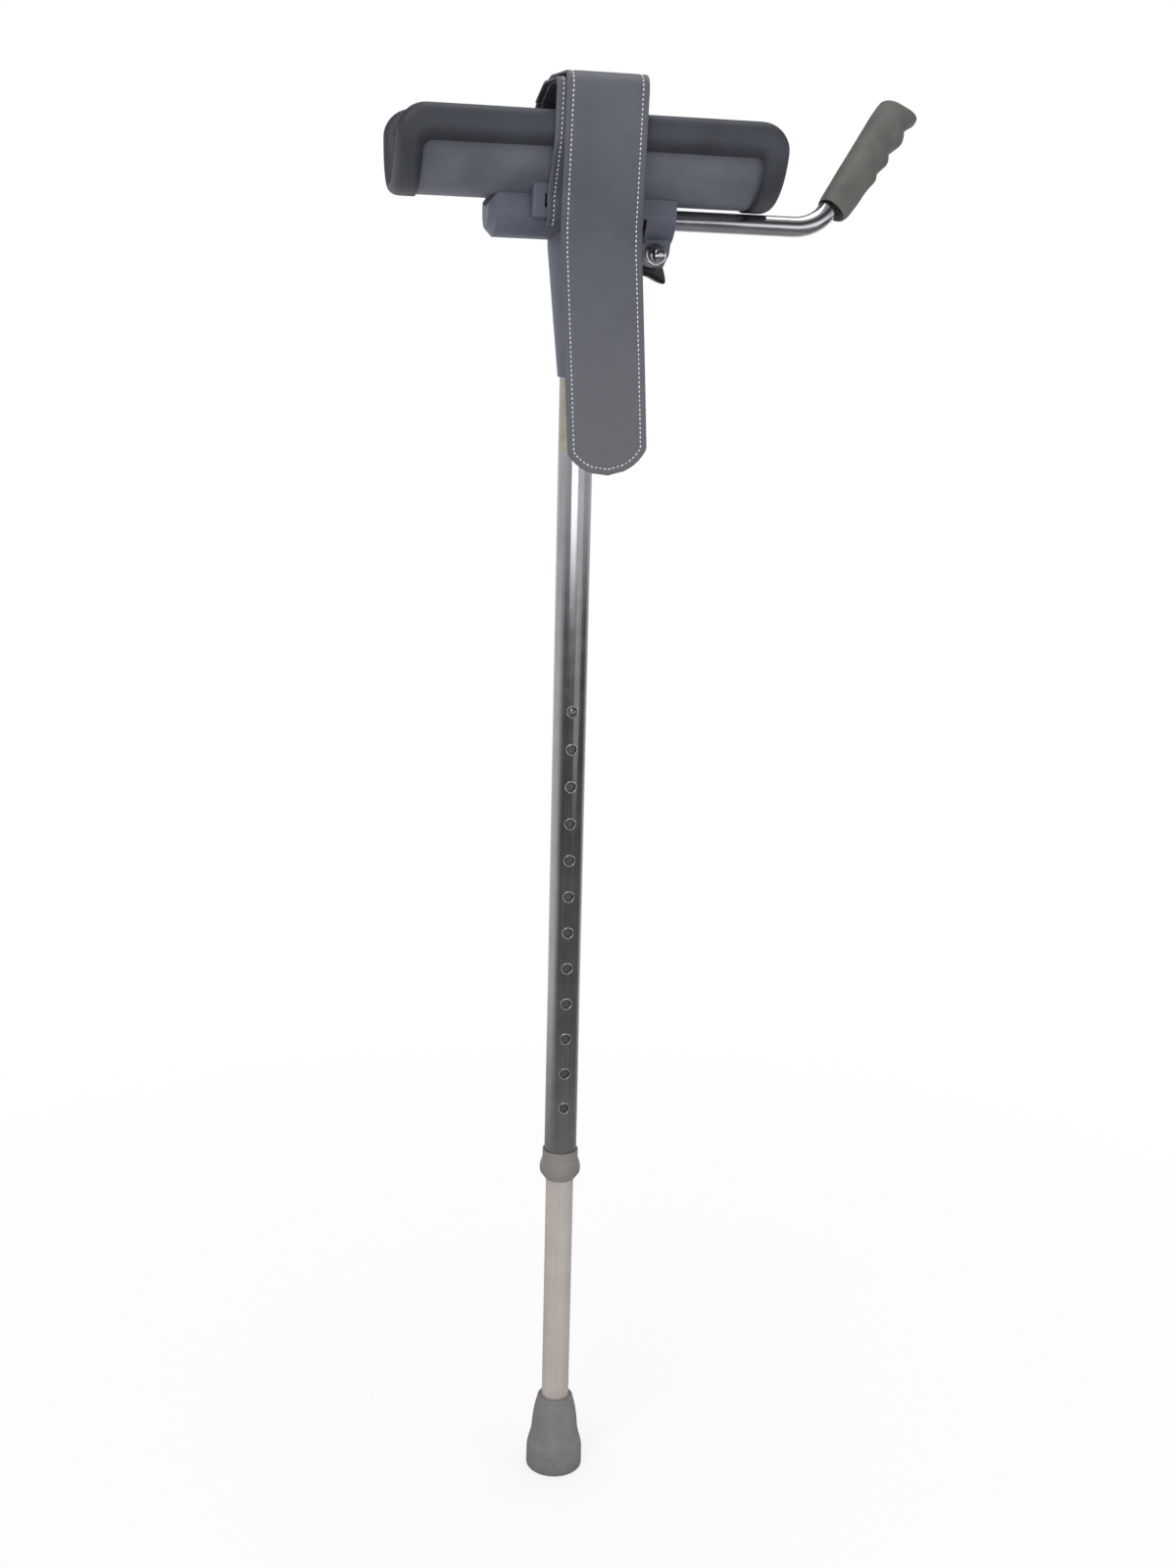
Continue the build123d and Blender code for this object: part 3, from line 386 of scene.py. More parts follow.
dust = add_node(tree, "ShaderNodeMix", {0: dusty.outputs[0], 6: rubber_colour, 7: linear("55524d")},
                data_type="RGBA")
tree.links.new(dust.outputs[2], shader.inputs["Base Color"])
print("two rubbers")

# %% [markdown]
# ## Vinyl, foam and thread
# The straps are coated fabric: a grey vinyl face with a soft leather grain, which a cell pattern gives.
# Height paints the vinyl lighter low on the loose end and a little over the top, and darker between: painted light and
# shade for how the strap faces the lamps.
# The trim is skinned foam, darker and duller, with fine closed cells. The lining is knitted fabric on foam.
# Stitches are pale polyester thread, with a twist so fine that only its colour varies.

# %% Vinyl, foam, lining and thread
strap_vinyl, tree, shader, place = start_finish("grained_strap_vinyl", "565962", 0.5)
cells = add_node(tree, "ShaderNodeTexVoronoi", {"Vector": place, "Scale": 620.0, "Randomness": 1.0},
                 feature="SMOOTH_F1")
pores = add_node(tree, "ShaderNodeTexNoise", {"Vector": place, "Scale": 1700.0, "Detail": 3.0})
handled = add_node(tree, "ShaderNodeTexNoise", {"Vector": place, "Scale": 24.0, "Detail": 6.0, "Roughness": 0.6})
grain = add_node(tree, "ShaderNodeMix", {0: 0.4, 2: cells.outputs["Distance"], 3: pores.outputs["Fac"]})
relief = add_node(tree, "ShaderNodeBump", {"Height": grain.outputs[0], "Strength": 0.55, "Distance": 0.00025})
shine = add_node(tree, "ShaderNodeMapRange", {"Value": handled.outputs["Fac"], "From Min": 0.35, "From Max": 0.65,
                                              "To Min": 0.46, "To Max": 0.6})
height = add_node(tree, "ShaderNodeSeparateXYZ", {0: place})
# Painted light and shade: a height mask lightens the vinyl low on the hanging end and over the top, over its random
# handled tone
painted_light_by_height = grey_steps(tree, add_node(tree, "ShaderNodeMapRange", {"Value": height.outputs["Z"], "From Min": -0.18,
                                                               "From Max": 0.07}).outputs[0],
                   ((0.0, 0.62), (0.35, 0.38), (0.62, 0.0), (0.78, 0.05), (0.95, 0.3)))
tone_and_painted_light = add_node(tree, "ShaderNodeMix", {0: painted_light_by_height, 6: colour_between(tree, handled.outputs["Fac"], "484c57", "555963"),
                                        7: linear("6b6b70")}, data_type="RGBA")
tree.links.new(tone_and_painted_light.outputs[2], shader.inputs["Base Color"])
tree.links.new(shine.outputs[0], shader.inputs["Roughness"])
tree.links.new(relief.outputs[0], shader.inputs["Normal"])

trim_foam, tree, shader, place = start_finish("skinned_foam_trim", "383c44", 0.55)
cells = add_node(tree, "ShaderNodeTexVoronoi", {"Vector": place, "Scale": 900.0}, feature="F1")
wide = add_node(tree, "ShaderNodeTexNoise", {"Vector": place, "Scale": 30.0, "Detail": 5.0})
relief = add_node(tree, "ShaderNodeBump", {"Height": cells.outputs["Distance"], "Strength": 0.3, "Distance": 0.0002})
tree.links.new(colour_between(tree, wide.outputs["Fac"], "31353d", "3c4049"), shader.inputs["Base Color"])
tree.links.new(relief.outputs[0], shader.inputs["Normal"])

lining_fabric, tree, shader, place = start_finish("knitted_lining_fabric", "565a63", 0.85)
shader.inputs["Sheen Weight"].default_value = 0.35
shader.inputs["Sheen Roughness"].default_value = 0.5
knit_x = add_node(tree, "ShaderNodeTexWave", {"Vector": place, "Scale": 190.0, "Distortion": 1.2, "Detail": 2.0,
                                              "Detail Scale": 3.0}, wave_type="BANDS", bands_direction="X")
knit_z = add_node(tree, "ShaderNodeTexWave", {"Vector": place, "Scale": 150.0, "Distortion": 1.2, "Detail": 2.0,
                                              "Detail Scale": 3.0}, wave_type="BANDS", bands_direction="DIAGONAL")
knit = add_node(tree, "ShaderNodeMath", {0: knit_x.outputs["Fac"], 1: knit_z.outputs["Fac"]}, operation="MULTIPLY")
relief = add_node(tree, "ShaderNodeBump", {"Height": knit.outputs[0], "Strength": 0.6, "Distance": 0.0004})
tree.links.new(colour_between(tree, knit.outputs[0], "464a52", "646872", 0.1, 0.8), shader.inputs["Base Color"])
tree.links.new(relief.outputs[0], shader.inputs["Normal"])

thread, tree, shader, place = start_finish("polyester_thread", "dcdde0", 0.55)
twist = add_node(tree, "ShaderNodeTexNoise", {"Vector": place, "Scale": 1500.0, "Detail": 2.0})
tree.links.new(colour_between(tree, twist.outputs["Fac"], "cfd1d4", "ebebec"), shader.inputs["Base Color"])

hook_nylon, tree, shader, place = start_finish("woven_hook_and_loop", "2b2d31", 0.75)
weave = add_node(tree, "ShaderNodeTexNoise", {"Vector": place, "Scale": 1300.0, "Detail": 3.0})
tree.links.new(colour_between(tree, weave.outputs["Fac"], "222428", "3a3c41"), shader.inputs["Base Color"])
print("vinyl, foam, lining, thread and tape")

# %% [markdown]
# ## Finishes on the carried-over parts
# The shapes that CAD got right stay as they are, and only their material slots change.
# A table of node and finish keeps that in one place, and shows at a glance if a node was forgotten.

# %% Give the CAD nodes their finishes
node_finishes = {
    "outer_tube": anodised_tube, "inner_tube": rubbed_tube, "inner_tube_guide": bush_plastic,
    "collar_bush": bush_plastic, "ferrule": ferrule_rubber, "ferrule_washer": zinc,
    "button_spring_clip": spring_steel, "head_moulding": head_nylon, "barrel_end_cap": head_nylon,
    "socket_rivet": zinc, "gutter_shell": shell_plastic, "gutter_lining": lining_fabric,
    "edge_roll": trim_foam, "gutter_screws": zinc, "clamp_washers": zinc, "dome_nut": chrome,
    "clamp_knob": knob_plastic, "clamp_stud": zinc, "handle_rod": chrome, "rod_end_plug": bush_plastic,
    "hand_grip": grip_rubber, "long_strap": strap_vinyl, "short_strap": strap_vinyl,
    "hook_tape": hook_nylon, "loop_tape": hook_nylon,
}
for name, finish in node_finishes.items():
    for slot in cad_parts[name].material_slots:
        slot.material = finish
print("nodes without a finish:", sorted(set(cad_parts) - set(node_finishes)))

# %% [markdown]
# ## Turning points and faces into a piece
# Every soft piece below is a grid that wraps round on itself, like a sleeve.
# One helper joins the rows, closes the ends, smooths the shading and gives the finish.

# %% Sleeve helper


def sleeve(name, rows, finish, ring=False, tip=None):
    """A closed mesh from rows of points: a ring of rows, or a tube whose ends are capped or come to a tip."""
    count = len(rows[0])
    points = [p for row in rows for p in row]
    faces = []
    last = len(rows) if ring else len(rows) - 1
    for r in range(last):
        for n in range(count):
            a, b = r * count + n, r * count + (n + 1) % count
            c, d = ((r + 1) % len(rows)) * count + (n + 1) % count, ((r + 1) % len(rows)) * count + n
            faces.append((a, b, c, d))
    if not ring:
        faces.append(tuple(reversed(range(count))))
        top = (len(rows) - 1) * count
        if tip is None:
            faces.append(tuple(top + n for n in range(count)))
        else:
            points.append(tip)
            faces += [(top + n, top + (n + 1) % count, len(points) - 1) for n in range(count)]
    mesh = bpy.data.meshes.new(name)
    mesh.from_pydata(points, [], faces)
    mesh.polygons.foreach_set("use_smooth", [True] * len(mesh.polygons))
    mesh.materials.append(finish)
    piece = bpy.data.objects.new(name, mesh)
    bpy.context.scene.collection.objects.link(piece)
    return piece


def face_outwards(piece):
    """Turns the faces so that they all point out of the closed piece."""
    shape = bmesh.new()
    shape.from_mesh(piece.data)
    bmesh.ops.recalc_face_normals(shape, faces=shape.faces)
    volume = shape.calc_volume(signed=True)
    if volume < 0:
        bmesh.ops.reverse_faces(shape, faces=shape.faces)
    shape.to_mesh(piece.data)
    shape.free()
    return abs(volume)


print("sleeve helper ready")

# %% [markdown]
# ## Foam trim round the gutter
# A foam edging is pushed over the rim of the gutter and over both of its ends, and meets itself at rounded corners.
# Sweeping a circle would lose its flat grip on the shell, and a simulation would blur the groove it sits on.
# So its section is drawn as a fat lip with a groove in it, and that section runs round a rounded oblong.
# The oblong is laid out flat and then rolled round the gutter's axis, which is how the real one is bent.
# Right underneath, the handle rod slides past both ends, so the lip is held back a third of a millimetre there.

# %% Foam trim
GUTTER_AXIS = 51.0
SHELL_OUTSIDE = 43.0
QUARTER = SHELL_OUTSIDE * pi / 2
TRIM_INSIDE = 34.35
ROD_RADIUS, ROD_CLEARANCE = 6.35, 0.35


def on_gutter(along, girth, radius):
    """Frame metres of a point laid out flat, by its distance round the gutter and from the gutter's axis."""
    if abs(girth) <= QUARTER:
        turn = girth / SHELL_OUTSIDE
        return head_point(along, radius * sin(turn), GUTTER_AXIS - radius * cos(turn))
    side = 1 if girth > 0 else -1
    return head_point(along, side * radius, GUTTER_AXIS + abs(girth) - QUARTER)


def rounded_oblong(half_length, half_girth, corner, per_end, per_side, per_corner):
    """Evenly numbered points round an oblong with rounded corners, laid out flat."""
    points = []
    for sx, sg, start in ((1, 1, 0), (-1, 1, 90), (-1, -1, 180), (1, -1, 270)):
        for n in range(per_corner + 1):
            turn = radians(start + 90 * n / per_corner)
            points.append((sx * (half_length - corner) + corner * cos(turn),
                           sg * (half_girth - corner) + corner * sin(turn)))
        along_side = start in (0, 180)
        steps = per_side if along_side else per_end
        ahead = {0: (-(half_length - corner), half_girth), 90: (-half_length, -(half_girth - corner)),
                 180: (half_length - corner, -half_girth), 270: (half_length, half_girth - corner)}[start]
        here = points[-1]
        points += [tuple(a + (b - a) * n / steps for a, b in zip(here, ahead)) for n in range(1, steps)]
    return points


def trim_section(band, outside):
    """Points round the lip's section: distance in from the outer edge, and radius from the gutter's axis."""
    middle = (outside + TRIM_INSIDE) / 2
    groove_out, groove_in, groove_end, nose, curl = 43.32, 39.68, 3.8, 7.0, 4.6
    section = []
    for n in range(7):
        turn = radians(90 * n / 6)
        section.append((band - curl * (1 - cos(radians(90) - turn)) * 0.98 - 0.02,
                        groove_out + 0.02 + (outside - groove_out) * sin(turn)))
    section.append(((band - curl + nose) / 2, outside + 0.25))
    section += [(nose - nose * sin(radians(90 * n / 6)), middle + (outside - middle) * cos(radians(90 * n / 6)))
                for n in range(7)]
    section += [(nose - nose * cos(radians(90 * n / 6)), middle - (middle - TRIM_INSIDE) * sin(radians(90 * n / 6)))
                for n in range(1, 7)]
    section.append(((band - curl + nose) / 2, TRIM_INSIDE - 0.1))
    section += [(band - curl + curl * sin(radians(90 * n / 5)),
                 groove_in - 0.1 - (groove_in - 0.1 - TRIM_INSIDE) * cos(radians(90 * n / 5))) for n in range(6)]
    section += [(band - 1.5, groove_in), (groove_end, groove_in), (groove_end, groove_out), (band - 1.5, groove_out)]
    return section


outer_edge = rounded_oblong(120.0, QUARTER + 9.1, 18.0, 60, 40, 9)
window_edge = rounded_oblong(104.0, QUARTER + 9.1 - 20.7, 6.0, 60, 40, 9)
rows = []
for (x0, g0), (x1, g1) in zip(outer_edge, window_edge):
    band = sqrt((x1 - x0) ** 2 + (g1 - g0) ** 2)
    turn = min(abs(g0 + g1) / 2, QUARTER) / SHELL_OUTSIDE
    outside = 1 / sqrt((sin(turn) / 46.0) ** 2 + (cos(turn) / 44.2) ** 2)
    away_from_strap = min(1.0, max(0.0, (abs(x0) - 45.0) / 25.0))
    outside += 0.9 * away_from_strap * min(1.0, abs(g0 + g1) / 2 / 30.0)
    row = []
    for inset, radius in trim_section(band, outside):
        x, g = x0 + (x1 - x0) * inset / band, g0 + (g1 - g0) * inset / band
        wave = noise.noise(Vector((x, g, 0.0)) / 23.0) * 0.3 if radius > 43.5 else 0.0
        over_rod = GUTTER_AXIS - ROD_RADIUS - ROD_CLEARANCE if abs(g) < 1.5 * ROD_RADIUS else 60.0
        row.append(on_gutter(x, g, min(radius + wave, over_rod)))
    rows.append(row)
foam_trim = sleeve("foam_trim", rows, trim_foam, ring=True)
volume = face_outwards(foam_trim)
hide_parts("edge_roll")
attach(foam_trim, "head")
print("foam trim", len(rows), "rows,", round(volume * 1e6, 1), "cubic cm")

# %% [markdown]
# ## Padded lining
# The forearm lies on a foam sheet faced with knit fabric, cut with rounded corners and glued inside the gutter.
# It is laid out flat as a grid, its edges are rounded down to nothing, and it is then rolled like the trim.
# A little slack makes shallow hills in the fabric. The floor where the forearm rests keeps its CAD height.

# %% Padded lining


def oblong_grid(u, v, half_length, half_girth, corner):
    """A point of a grid from -1 to 1 each way, pulled in at the corners."""
    x, g = u * half_length, v * half_girth
    a, b = abs(x) - (half_length - corner), abs(g) - (half_girth - corner)
    if a > 0 and b > 0:
        a, b = a * sqrt(1 - b * b / (2 * corner ** 2)), b * sqrt(1 - a * a / (2 * corner ** 2))
        x = (half_length - corner + a) * (1 if x > 0 else -1)
        g = (half_girth - corner + b) * (1 if g > 0 else -1)
    return x, g


def spaced(count, edge):
    """Numbers from -1 to 1, closer together near both ends."""
    return [(1 - edge) * (2 * n / count - 1) + edge * sin(pi / 2 * (2 * n / count - 1)) for n in range(count + 1)]


PAD_LENGTH, PAD_GIRTH, PAD_OUT, PAD_IN, PAD_ROUND = 103.1, 53.4, 39.6, 33.7, 2.9
rows = []
columns = spaced(48, 0.9)
for u in spaced(72, 0.9):
    above, below = [], []
    for v in columns:
        x, g = oblong_grid(u, v, PAD_LENGTH, PAD_GIRTH, 7.0)
        edge = min(PAD_LENGTH - abs(x), PAD_GIRTH - abs(g))
        a, b = abs(x) - (PAD_LENGTH - 7.0), abs(g) - (PAD_GIRTH - 7.0)
        if a > 0 and b > 0:
            edge = 7.0 - sqrt(a * a + b * b)
        full = sqrt(max(0.0, 1 - (1 - min(max(edge, 0) / PAD_ROUND, 1)) ** 2))
        middle, half = (PAD_OUT + PAD_IN) / 2, (PAD_OUT - PAD_IN) / 2
        slack = noise.noise(Vector((x, g, 40.0)) / 17.0) * 0.35 * min(edge / 8, 1) * min(abs(g) / 20, 1)
        above.append(on_gutter(x, g, middle - half * full + max(slack, 0)))
        below.append(on_gutter(x, g, middle + half * full))
    rows.append(above + list(reversed(below))[1:-1])
padded_lining = sleeve("padded_lining", rows, lining_fabric)
volume = face_outwards(padded_lining)
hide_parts("gutter_lining")
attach(padded_lining, "head")
print("lining", round(volume * 1e6, 1), "cubic cm")

# %% [markdown]
# ## Where the straps run
# Each strap is threaded round a bar moulded into the head, sewn to itself, and taken over the gutter.
# The long one goes from the far side over the top and hangs down in front. The short one lies under it.
# A strap is a flat ribbon, so its route is a line seen from the gutter's end, with a rounded turn at each bend.

# %% Strap routes


def rounded_route(corners, radii, run_step=4.0):
    """Points of a line through corners, with an arc of its own radius at each, and straight runs divided."""
    arcs = [[Vector(corners[0])]]
    for before, corner, after, radius in zip(corners, corners[1:], corners[2:], radii):
        before, corner, after = Vector(before), Vector(corner), Vector(after)
        back, ahead = (before - corner).normalized(), (after - corner).normalized()
        half = back.angle(ahead) / 2
        centre = corner + (back + ahead).normalized() * radius / sin(half)
        start, end = (corner + way * radius / tan(half) - centre for way in (back, ahead))
        first = atan2(start.y, start.x)
        turn = (atan2(end.y, end.x) - first + pi) % (2 * pi) - pi
        steps = max(6, ceil(abs(turn) * radius / 1.6))
        arcs.append([centre + radius * Vector((cos(first + turn * n / steps), sin(first + turn * n / steps)))
                     for n in range(steps + 1)])
    arcs.append([Vector(corners[-1])])
    route = []
    for arc in arcs:
        if route:
            gap = arc[0] - route[-1]
            steps = max(1, ceil(gap.length / run_step))
            route += [route[-1] + gap * n / steps for n in range(1, steps)]
        route += [p for p in arc if not route or (p - route[-1]).length > 0.05]
    return route


STRAP_SIDE, LONG_SIDE, LONG_LEVEL, SHORT_LEVEL, RIM_LEVEL = 47.6, 51.4, 81.6, 77.8, 43.0
FAR_DROP = 15.6


def keeper_end(side):
    """Corners of a strap from the rim down round the bar of its keeper and back up to where it is sewn."""
    slant = atan2(STRAP_SIDE - 31.4, RIM_LEVEL - 10.0)
    knee = 10.0 + 2.0 * tan(slant / 2)
    corners = [(STRAP_SIDE, RIM_LEVEL), (31.4, 10.0), (31.4, -5.7), (22.7, -5.7), (22.7, 7.0), (29.3, 7.0),
               (29.3, knee), (29.3 + 14.0 * sin(slant), knee + 14.0 * cos(slant))]
    return [(side * y, h) for y, h in corners]


KEEPER_RADII = [15, 8, 4.1, 4.1, 1.8, 1.8, 1.2]
HANG_END = -154.85
hang_radius = ((LONG_SIDE - 46.0) ** 2 + (37.0 - HANG_END) ** 2) / (2 * (LONG_SIDE - 46.0))
hanging = []
for n in range(96):
    h = HANG_END + (37.0 - HANG_END) * n / 96
    hanging.append(Vector((-LONG_SIDE + hang_radius - sqrt(hang_radius ** 2 - (37.0 - h) ** 2), h)))
long_route = hanging + rounded_route([(-LONG_SIDE, 37.0), (-LONG_SIDE, LONG_LEVEL), (0, LONG_LEVEL),
                                      (STRAP_SIDE, LONG_LEVEL - FAR_DROP)] + keeper_end(1), [9, 24, 9] + KEEPER_RADII)
short_route = rounded_route([(30, SHORT_LEVEL - 30 * FAR_DROP / STRAP_SIDE), (0, SHORT_LEVEL),
                             (-STRAP_SIDE, SHORT_LEVEL)] + keeper_end(-1), [20, 5.2] + KEEPER_RADII)
print("long strap", round(sum((b - a).length for a, b in zip(long_route, long_route[1:]))), "mm, short strap",
      round(sum((b - a).length for a, b in zip(short_route, short_route[1:]))), "mm")

# %% [markdown]
# ## The ribbon itself
# A vinyl strap is two faces turned in at the edges and stitched, so it is thickest at its middle and
# pinched along the stitch line, with round edges. A plain solidified plane would look like sheet metal.
# The half thickness is therefore worked out from the distance to the nearest edge, also round the end.

# %% Strap body
STITCH_INSET = 4.0
EDGE_STEPS = (0, 0.12, 0.45, 0.95, 1.6, 2.4, 3.1, 3.6, 4.0, 4.4, 4.9, 5.8, 7.5, 10.5, 15.0, 20.0)


def half_thickness(inset, puff):
    """Half the strap's thickness in mm at a distance in from its edge."""
    edge = min(max(inset, 0.0) / 1.3, 1.0)
    body = 0.97 * sqrt(max(0.0, 1 - (1 - edge) ** 2))
    pinch = 0.3 * exp(-((inset - STITCH_INSET) / 0.75) ** 2)
    crown = puff * min(max((inset - STITCH_INSET) / 5.0, 0.0), 1.0)
    return max(body - pinch + crown, 0.0)


def strap_rows(route, width, left_at, lean_from=None, round_end=0.0, puff=0.12):
    """Rows of a strap's points across its route, and its stitch lines on both faces."""
    lean = radians(5.0)
    half_width = width / 2
    lateral = [-(half_width - step) for step in EDGE_STEPS if step < half_width] + [0.0]
    lateral += [-t for t in reversed(lateral[:-1])]
    run_end = (lean_from - route[0].y) / cos(lean) if lean_from is not None else None
    arc = ((half_width ** 2 + round_end ** 2) / (2 * round_end)) if round_end else 0.0
    rows, seams = [], {"outer_left": [], "outer_right": [], "inner_left": [], "inner_right": []}

    def place(x_middle, y, h, t, off, normal, tilt_now):
        return head_point(x_middle + t * cos(tilt_now), y + normal.x * off, h + t * sin(tilt_now) + normal.y * off)

    for i, point in enumerate(route):
        ahead = (route[min(i + 1, len(route) - 1)] - route[max(i - 1, 0)]).normalized()
        normal = Vector((-ahead.y, ahead.x))
        y, h = point
        x_middle, tilt_now, spread, to_tip = left_at(y, h) + half_width, 0.0, half_width, None
        if lean_from is not None and i < len(hanging):
            fade = min(1.0, max(0.0, (lean_from + 8.0 - h) / 16.0))
            tilt_now = lean * fade * fade * (3 - 2 * fade)
            down = max(0.0, (lean_from - h)) / cos(lean)
            x_middle += down * sin(lean) + 0.35 * (1 - abs(2 * fade - 1))
            if round_end and down > run_end - round_end:
                spread = sqrt(max(arc ** 2 - (down - (run_end - arc)) ** 2, 0.0))
            to_tip = down - (run_end - arc) if round_end else None
        if spread < 0.4:
            continue
        sway = noise.noise(Vector((0.0, h, 7.0)) / 60.0) * 0.5 if (lean_from is not None and h < lean_from) else 0.0
        outer, inner = [], []
        for t in lateral:
            t = t * spread / half_width
            inset = half_width - abs(t)
            if to_tip is not None and to_tip > 0:
                inset = min(inset, arc - sqrt(to_tip ** 2 + t ** 2))
            thick = half_thickness(inset, puff)
            outer.append(place(x_middle, y + sway * 0.4, h, t, thick, normal, tilt_now))
            inner.append(place(x_middle, y + sway * 0.4, h, t, -min(thick, 0.99), normal, tilt_now))
        rows.append(outer + list(reversed(inner))[1:-1])
        if spread > half_width - STITCH_INSET:
            seam = half_width - STITCH_INSET
            if to_tip is not None and to_tip > 0:
                seam = min(seam, sqrt(max((arc - STITCH_INSET) ** 2 - to_tip ** 2, 0.0)))
        elif to_tip is not None and to_tip < arc - STITCH_INSET:
            seam = sqrt((arc - STITCH_INSET) ** 2 - to_tip ** 2)
        else:
            seam = None
        if seam is not None:
            lift = half_thickness(STITCH_INSET, puff)
            for key, t, off in (("outer_left", -seam, lift), ("outer_right", seam, lift),
                                ("inner_left", -seam, -min(lift, 0.99)), ("inner_right", seam, -min(lift, 0.99))):
                spot = place(x_middle, y + sway * 0.4, h, t, off, normal, tilt_now)
                up = head_point(0, normal.x, normal.y) - head_point(0, 0, 0)
                seams[key].append((spot, up.normalized() * (1 if off > 0 else -1)))
    tip = None
    if round_end:
        tip = place(left_at(*route[0]) + half_width + run_end * sin(lean), route[0].x, route[0].y, 0, 0,
                    Vector((-1, 0)), lean)
    return rows, seams, tip


def long_left(y, h):
    """Left edge of the long strap, which crosses the gutter slightly askew."""
    share = min(1.0, max(0.0, (y + 30.0) / 60.0))
    return -21.2 - 2.8 * share


rows, long_seams, tip = strap_rows(long_route, 50.0, long_left, lean_from=-13.0, round_end=15.0)
long_vinyl = sleeve("long_vinyl_strap", list(reversed(rows)), strap_vinyl, tip=tip)
face_outwards(long_vinyl)
rows, short_seams, _ = strap_rows(short_route, 48.0, lambda y, h: -26.5, puff=0.0)
short_vinyl = sleeve("short_vinyl_strap", rows, strap_vinyl)
face_outwards(short_vinyl)
print("strap faces", len(long_vinyl.data.polygons), len(short_vinyl.data.polygons))

# %% [markdown]
# ## Stitches
# Each strap has a line of lock stitch 4 mm in from its edge, about nine stitches to the inch, on both faces.
# Hundreds of equal stitches along a line are what Geometry Nodes are for: the seam is cut to an even pitch and
# one small stitch is set on each point, turned along the seam and away from the vinyl.

# %% Stitch tree
stitches = bpy.data.node_groups.new("stitches_along_a_seam", "GeometryNodeTree")
for label, kind in (("Seam", "NodeSocketGeometry"), ("Pitch", "NodeSocketFloat"), ("Stitch", "NodeSocketObject"),
                    ("Thread", "NodeSocketMaterial"), ("Seed", "NodeSocketInt")):
    stitches.interface.new_socket(label, in_out="INPUT", socket_type=kind)
stitches.interface.new_socket("Stitches", in_out="OUTPUT", socket_type="NodeSocketGeometry")
given = add_node(stitches, "NodeGroupInput")
seam = add_node(stitches, "GeometryNodeMeshToCurve", {"Mesh": given.outputs["Seam"]})
even = add_node(stitches, "GeometryNodeResampleCurve", {"Curve": seam.outputs[0], "Length": given.outputs["Pitch"]},
                mode="LENGTH")
along = add_node(stitches, "GeometryNodeInputTangent")
away = add_node(stitches, "GeometryNodeInputNamedAttribute", {"Name": "away"}, data_type="FLOAT_VECTOR")
facing = add_node(stitches, "FunctionNodeAlignRotationToVector", {"Vector": along.outputs[0]}, axis="X")
turned = add_node(stitches, "FunctionNodeAlignRotationToVector",
                  {"Rotation": facing.outputs[0], "Vector": away.outputs["Attribute"]}, axis="Z", pivot_axis="X")
one = add_node(stitches, "GeometryNodeObjectInfo", {"Object": given.outputs["Stitch"]})
uneven = add_node(stitches, "FunctionNodeRandomValue", {2: 0.92, 3: 1.08, "Seed": given.outputs["Seed"]},
                  data_type="FLOAT")
placed = add_node(stitches, "GeometryNodeInstanceOnPoints",
                  {"Points": even.outputs[0], "Instance": one.outputs["Geometry"], "Rotation": turned.outputs[0],
                   "Scale": uneven.outputs[1]})
real = add_node(stitches, "GeometryNodeRealizeInstances", {"Geometry": placed.outputs[0]})
dressed = add_node(stitches, "GeometryNodeSetMaterial", {"Geometry": real.outputs[0],
                                                         "Material": given.outputs["Thread"]})
add_node(stitches, "NodeGroupOutput", {"Stitches": dressed.outputs[0]})


def grown(piece, tree, values):
    """Runs a Geometry Nodes tree on a piece with these inputs and keeps the result as a plain mesh."""
    modifier = piece.modifiers.new(tree.name, "NODES")
    modifier.node_group = tree
    for item in tree.interface.items_tree:
        if item.in_out == "INPUT" and item.name in values:
            modifier[item.identifier] = values[item.name]
    evaluated = piece.evaluated_get(bpy.context.evaluated_depsgraph_get())
    mesh = bpy.data.meshes.new_from_object(evaluated)
    piece.modifiers.remove(modifier)
    piece.data = mesh
    mesh.polygons.foreach_set("use_smooth", [True] * len(mesh.polygons))
    return len(mesh.polygons)


print("stitch tree has", len(stitches.nodes), "nodes")

# %% [markdown]
# One stitch is a short sausage of thread, lowest where the needle took it through.
# It has only a few dozen faces, because there are hundreds of it.

# %% One stitch, then all of them
STITCH_PITCH, THREAD_WIDTH = 2.8, 0.7


def one_stitch():
    """A small sausage along X, in metres, that bows up in its middle."""
    rows = []
    for n in range(5):
        s = -1 + n / 2
        round_off = sqrt(max(0.0, 1 - (0.9 * s) ** 2))
        rows.append([Vector((s * STITCH_PITCH * 0.3, THREAD_WIDTH * 0.62 * round_off * cos(a),
                             THREAD_WIDTH * 0.5 * round_off * sin(a) + 0.1 * (1 - s * s))) / 1000
                     for a in [k * pi / 3 for k in range(6)]])
    return sleeve("one_stitch", rows, thread)


def seam_piece(name, seams, joined):
    """A mesh of edges only, along the seam lines, with the way out of the vinyl kept at each point."""
    points, ways, edges = [], [], []
    for line in joined(seams):
        edges += [(len(points) + n, len(points) + n + 1) for n in range(len(line) - 1)]
        points += [p for p, _ in line]
        ways += [w for _, w in line]
    mesh = bpy.data.meshes.new(name)
    mesh.from_pydata(points, edges, [])
    away = mesh.attributes.new("away", "FLOAT_VECTOR", "POINT")
    away.data.foreach_set("vector", [c for w in ways for c in w])
    piece = bpy.data.objects.new(name, mesh)
    bpy.context.scene.collection.objects.link(piece)
    return piece


def round_the_end(seams):
    """The long strap's seams run down one side, round its end and up the other."""
    return [list(reversed(seams[face + "_left"])) + seams[face + "_right"] for face in ("outer", "inner")]


def two_sides(seams):
    """The short strap's seams are one line on each side of each face."""
    return [seams[key] for key in seams]


